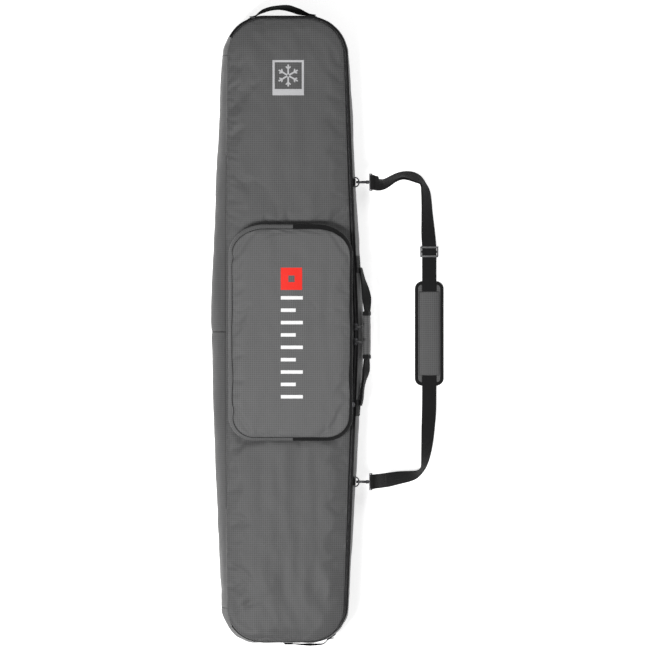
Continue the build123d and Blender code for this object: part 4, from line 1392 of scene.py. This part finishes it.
def wall_patch(name, side, y_range, z_range, direction, *nodes):
    """Webbing sewn flat on the wall, with rounded edges."""
    rows, cols = 13, 19
    ys = np.linspace(*y_range, cols)
    zs = np.linspace(*z_range, rows)
    top = np.zeros((rows, cols, 3))
    foot = np.zeros_like(top)
    for i, z in enumerate(zs):
        for j, y in enumerate(ys):
            rim = min(i, j, rows - 1 - i, cols - 1 - j)
            lift = PATCH_T * (0.55 if rim == 0 else 0.95 if rim == 1 else 1.0) + 0.35
            top[i, j] = wall_point(side, y, z, lift, direction)
            foot[i, j] = wall_point(side, y, z, -0.4, direction)
    verts = np.concatenate([top.reshape(-1, 3), foot.reshape(-1, 3)])
    flip = direction[1] > 0
    faces = grid_faces(rows, cols, 0, flip=flip)
    index = rim_loop(rows, cols)
    n = rows * cols
    for k in range(len(index)):
        a, b = index[k], index[(k + 1) % len(index)]
        quad = (a, b, n + b, n + a)
        faces.append(quad if not flip else quad[::-1])
    uv = np.stack(np.broadcast_arrays(ys[None] - ys[0], zs[:, None] - zs[0]), 2)[..., ::-1].reshape(-1, 2)
    patch = make_object(name, verts * MM, faces, np.concatenate([uv, uv]) * MM, WEBBING)
    dress(patch, "webbing", "bag", *nodes)


def wall_stitch_rows(side, y_range, z_range, direction):
    """A sewn box with a cross in it."""
    margin = 2.2
    (y0, y1), (z0, z1) = y_range, z_range
    y0, y1, z0, z1 = y0 + margin, y1 - margin, z0 + margin, z1 - margin
    corners = ((y0, z0), (y1, z0), (y1, z1), (y0, z1))
    rows = []
    for start, end in ((0, 1), (1, 2), (2, 3), (3, 0), (0, 2), (3, 1)):
        a, b = corners[start], corners[end]
        line = [wall_point(side, a[0] + (b[0] - a[0]) * t, a[1] + (b[1] - a[1]) * t, 2.15, direction)
                for t in np.linspace(0, 1, 15)]
        rows.append((np.array(line), (0, 0.4, 1) if direction[0] else (0.4, 0, 1)))
    return rows


RIGHT_SIDE = ("right_gusset_fabric", (84, 121.5), (-1, 0, 0))
NOSE_SIDE = ("nose_gusset_fabric", (73.5, 98.5), (0, -1, 0))
TAIL_SIDE = ("tail_gusset_fabric", (73.5, 98.5), (0, 1, 0))
PATCHES = (
    ("carry_patch_upper", RIGHT_SIDE, (146, 190), ["carry_handle_patches"]),
    ("carry_patch_lower", RIGHT_SIDE, (-220, -178), []),
    ("nose_patch_left", NOSE_SIDE, (-104, -80), ["nose_handle_patches"]),
    ("nose_patch_right", NOSE_SIDE, (49, 73), []),
    ("tail_patch_left", TAIL_SIDE, (-13, 11), ["tail_handle_patches"]),
    ("tail_patch_right", TAIL_SIDE, (98, 121), []),
)
rows = []
for name, (side, up, direction), across, nodes in PATCHES:
    wall_patch(name, side, across, up, direction, *nodes)
    rows += wall_stitch_rows(side, across, up, direction)
stitches("patch_thread", rows, "bag")

# ---------------------------------------------------------------- carry handle

GRIP_LOW, GRIP_HIGH, CUFF = -64.0, 38.0, 10.0
GRIP_X, GRIP_Z, GRIP_TILT = 200.5, 99.0, 15.0


WEB, WEB_T = 25.0, 1.8
# Y along the bag, and the webbing's lean from the vertical there in degrees
UPPER_LEAN = ((48, 82, 104, 128, 152, 180), (30, 58, 40, 20, 13, 11))
LOWER_LEAN = ((-200, -172, -143, -128, -104, -88, -74), (11, 13, 16, 21, 42, 36, 28))
wall_at = {y: wall_point("right_gusset_fabric", y, 99, 0.0)[0] for y in (146, 158, -180, -192)}

# name, route, lean, roll in degrees at mid length, and the CAD piece that it stands for
webs = (
    ("handle_web_upper",
     [(wall_at[158] + 3.2, 160, 99), (wall_at[146] + 3.4, 146, 99), (189, 128, 99.5), (194.5, 106, 100),
      (198.5, 84, 100.5), (200, 64, 99.5), (200.5, 44, 99)], UPPER_LEAN, 0.0, ["carry_handle_webbing"]),
    ("handle_web_upper_ply",
     [(wall_at[158] + 5.0, 158, 99), (wall_at[146] + 6.0, 146, 99), (192.2, 127, 99), (197.6, 106, 99.5),
      (201, 84, 99.6), (202.5, 64, 99), (203, 44, 99)], UPPER_LEAN, 4.0, []),
    ("handle_web_lower",
     [(199, -70, 99), (198.6, -92, 99), (197, -108, 99), (192.8, -126, 99), (189.2, -142, 99),
      (wall_at[-180] + 4.4, -168, 99), (wall_at[-192] + 3.2, -194, 99)], LOWER_LEAN, 0.0, []),
    ("handle_web_lower_ply",
     [(201.5, -70, 99), (201.4, -92, 98.6), (199.8, -110, 98), (195.8, -128, 98), (192.4, -144, 98),
      (wall_at[-180] + 9.4, -164, 98.3), (wall_at[-180] + 8.4, -180, 98.5), (wall_at[-192] + 5.2, -193, 99)],
     LOWER_LEAN, -5.0, []),
)
for name, points, leans, mid_roll, nodes in webs:
    line = smooth_line(points, 2.5)
    angle = np.radians(np.interp(line[:, 1], *leans))
    upright = np.stack([-np.sin(angle), np.zeros(len(line)), np.cos(angle)], 1)
    roll = np.radians(mid_roll) * np.sin(np.linspace(0, np.pi, len(line)))
    dress(ribbon(name, line, upright, WEB, WEB_T, WEBBING, roll), "webbing", TO_CARRY_HANDLE, *nodes)


def sleeve(name, low, high, half, radius, material, node, slot_name, swell, wrinkle):
    """A padded tube of rounded section round the webbing, rolled in at both ends."""
    loop = rounded_rect(*half, radius)
    closed = shut(loop)
    around = arc_length(closed)
    length = high - low
    count = max(3, int(length / 4))
    near, rolled = np.array([0, 0, 0.4, 1.2, 2.4]), np.array([5.5, 2.2, 1.1, 0.4, 0.1])
    stations = np.concatenate([near, np.linspace(4, length - 4, count), (length - near)[::-1]])
    shrink = np.concatenate([rolled, np.zeros(count), rolled[::-1]])
    angle = math.radians(GRIP_TILT)
    out = shut(ring_normals(loop))
    if out[0] @ loop[0] < 0:
        out = -out
    rows = []
    for s, d in zip(stations, shrink):
        grow = swell * math.sin(math.pi * min(1, max(0, s / length))) ** 0.7
        ripple = np.array([wrinkle * noise.noise((s / 11, a / 9, 3.3)) for a in around])
        ripple[-1] = ripple[0]
        plan = closed + out * (grow - d + ripple * (d < 0.2))[:, None]
        x = GRIP_X + plan[:, 0] * math.cos(angle) - plan[:, 1] * math.sin(angle)
        z = GRIP_Z + plan[:, 0] * math.sin(angle) + plan[:, 1] * math.cos(angle)
        rows.append(np.stack([x, np.full(len(x), low + s), z], 1))
    grid = np.array(rows)
    uvs = strip_uvs(stations, around)[..., ::-1]
    piece = grid_object(name, grid * MM, uvs, material, flip=True)
    dress(piece, slot_name, "carry_handle", node)
    return piece


grip = sleeve("handle_wrap", GRIP_LOW + 0.5, GRIP_HIGH - 0.5, (7.0, 14.6), 5.5, FABRIC, "carry_handle_wrap",
              "ripstop", 0.9, 0.3)
for end, low, high in (("upper", GRIP_HIGH - 1.5, GRIP_HIGH + CUFF),
                       ("lower", GRIP_LOW - CUFF, GRIP_LOW + 1.5)):
    sleeve("handle_cuff_" + end, low, high, (8.2, 15.4), 6.0, BINDING, "carry_handle_cuff_" + end, "webbing",
           0.2, 0.15)

# ---------------------------------------------------------------- end handles


def end_handle(name, points, leans, carrier, node):
    """A webbing loop along an end. leans holds (share of its length, lean from the vertical in degrees)."""
    line = smooth_line(points, 2.0)
    s = arc_length(line) / arc_length(line)[-1]
    angle = np.radians(np.interp(s, *zip(*leans)))
    tangent = unit(np.gradient(line, axis=0))
    side = np.cross(tangent, (0, 0, 1))
    wide = np.cos(angle)[:, None] * np.array([0, 0, 1.0]) + np.sin(angle)[:, None] * unit(side)
    dress(ribbon(name, line, wide, WEB, WEB_T, WEBBING), "webbing", carrier, node)


nose_y, nose_y2 = (wall_point("nose_gusset_fabric", x, 86, 0, (0, -1, 0))[1] for x in (-92, 60))
end_handle("nose_handle_web",
           [(-100, nose_y + 3.0, 86), (-86, nose_y + 3.4, 86), (-76, 810.5, 86), (-62, 818, 86.5),
            (-44, 823.5, 87), (-20, 826, 87), (2, 824, 87), (22, 816.5, 86.5), (40, nose_y2 + 7.5, 86),
            (56, nose_y2 + 3.2, 86), (70, nose_y2 + 3.0, 86)],
           [(0, 0), (0.12, -4), (0.22, -18), (0.45, -23), (0.6, -38), (0.76, -36), (0.9, -8), (1, 0)],
           TO_NOSE_HANDLE, "nose_handle")
tail_y, tail_y2 = (wall_point("tail_gusset_fabric", x, 86, 0, (0, 1, 0))[1] for x in (0, 108))
end_handle("tail_handle_web",
           [(-10, tail_y - 2.8, 86), (6, tail_y - 3.0, 86), (16, -803.5, 86), (32, -805, 86),
            (56, -805.5, 86), (78, -805, 86), (92, -803.4, 86), (102, tail_y2 - 3.6, 86),
            (116, tail_y2 - 2.8, 86)],
           [(0, 0), (0.2, 0), (0.5, 10), (0.8, 0), (1, 0)], TO_TAIL_HANDLE, "tail_handle")

# ---------------------------------------------------------------- D-ring tabs


def ring_tab(name, y, node):
    """Folded webbing from the rim seam round the ring's straight bar."""
    bar_z, radius = 114.0, 3.15
    wall_x = wall_point("right_gusset_fabric", y, bar_z, 0.0)[0]
    turn = turned(168.0, bar_z, radius, y, np.linspace(0.5 * np.pi, -0.5 * np.pi, 13))
    head = np.array([(wall_x - 5.0, y, bar_z + radius + 5.5), (wall_x - 1.5, y, bar_z + radius + 2.6)])
    foot = np.array([(wall_x + 0.3, y, bar_z - radius - 0.4), (wall_x - 2.0, y, bar_z - radius - 0.6)])
    tab = ribbon(name, np.concatenate([head, turn, foot]), (0, 1, 0), 18.0, 1.5, WEBBING)
    dress(tab, "webbing", "bag", node)


ring_tab("ring_tab_upper", 378.0, "d_ring_tab_upper")
ring_tab("ring_tab_lower", -388.0, "d_ring_tab_lower")

# ---------------------------------------------------------------- seams


def edge_thread(name, loop, tree, lift, carrier):
    """A row of stitches on a fabric, along a line."""
    line = at_height(loop, [drop_on(tree, x, y, lift) for x, y in loop])
    line = resample(line, 3.0)[0]
    run = stitch_run(line, ribbon_frames(line, (0, 0, 1)), length=2.8, pitch=4.2, radius=0.26)
    thread_piece(name, [run], "ripstop", carrier)


edge_thread("lid_thread", shut(LID_EDGE - ring_normals(LID_EDGE) * 3.6), lid_tree, 0.12, TO_LID)
edge_thread("pocket_thread", FACE_RING - ring_normals(FACE_RING) * 2.6, face_tree, 0.1, TO_FLAP)

# the raised edge of each seam between two gusset panels
for name, column, radius in (
        ("waist_seam", 0, 1.0), ("nose_left_seam", NOSE_LEFT, 0.6), ("nose_right_seam", RIGHT, 0.6),
        ("tail_right_seam", TAIL_RIGHT, 0.6), ("tail_left_seam", LEFT_LOW, 0.6)):
    line = SHELL[1:-1, column] + np.array([*ring_normals(BELLY)[column], 0]) * radius * 0.2
    seam = ribbon(name, resample(line, 3.0)[0], (0, 1, 0.02), 2 * radius, 1.2 * radius, BINDING)
    dress(seam, "ripstop", "bag")


def piping(name, loop, z, radius, material, carrier):
    """A thin cord sewn into a closed seam."""
    line = resample(shut(at_height(loop, z)), 3.0)[0][:-1]
    along = unit(np.roll(line, -1, 0) - np.roll(line, 1, 0))
    out = unit(np.stack([-along[:, 1], along[:, 0], np.zeros(len(line))], 1))
    up = np.array([0, 0, 1.0])
    rows = [line + out * radius * math.cos(angle) + up * radius * math.sin(angle)
            for angle in np.linspace(0, 2 * np.pi, 9)]
    grid = np.array(rows)
    grid = np.concatenate([grid, grid[:, :1]], 1)
    dress(mm_grid(name, grid, material, flip=True), "ripstop", carrier)


piping("pocket_piping", FACE_RING, FACE_SEAM_Z + 0.2, 0.75, BINDING, TO_FLAP)

# ---------------------------------------------------------------- carried-over CAD nodes

# material, and width of the bevel in millimetres
FINISHES = {
    "d_ring": (METAL, 0.25), "hook": (METAL, 0.35),
    "main_slider": (METAL, 0.35), "pocket_slider": (METAL, 0.3), "main_zip_end_stops": (METAL, 0.3),
    "main_puller": (RUBBER, 0.4), "pocket_puller": (RUBBER, 0.4), "strap_adjuster": (PLASTIC, 0.8),
}
for node_name, node in frame["nodes"].items():
    if node.hide_render:
        continue
    material, width = [value for key, value in FINISHES.items() if node_name.startswith(key)][0]
    node.data.materials.clear()
    node.data.materials.append(material)
    node.data.polygons.foreach_set("use_smooth", [True] * len(node.data.polygons))
    weld = node.modifiers.new("weld", "WELD")
    weld.merge_threshold = 0.00001
    bevel = node.modifiers.new("bevel", "BEVEL")
    bevel.width = width * MM
    bevel.segments = 2
    bevel.limit_method = "ANGLE"
    bevel.angle_limit = math.radians(38)
    bevel.harden_normals = True
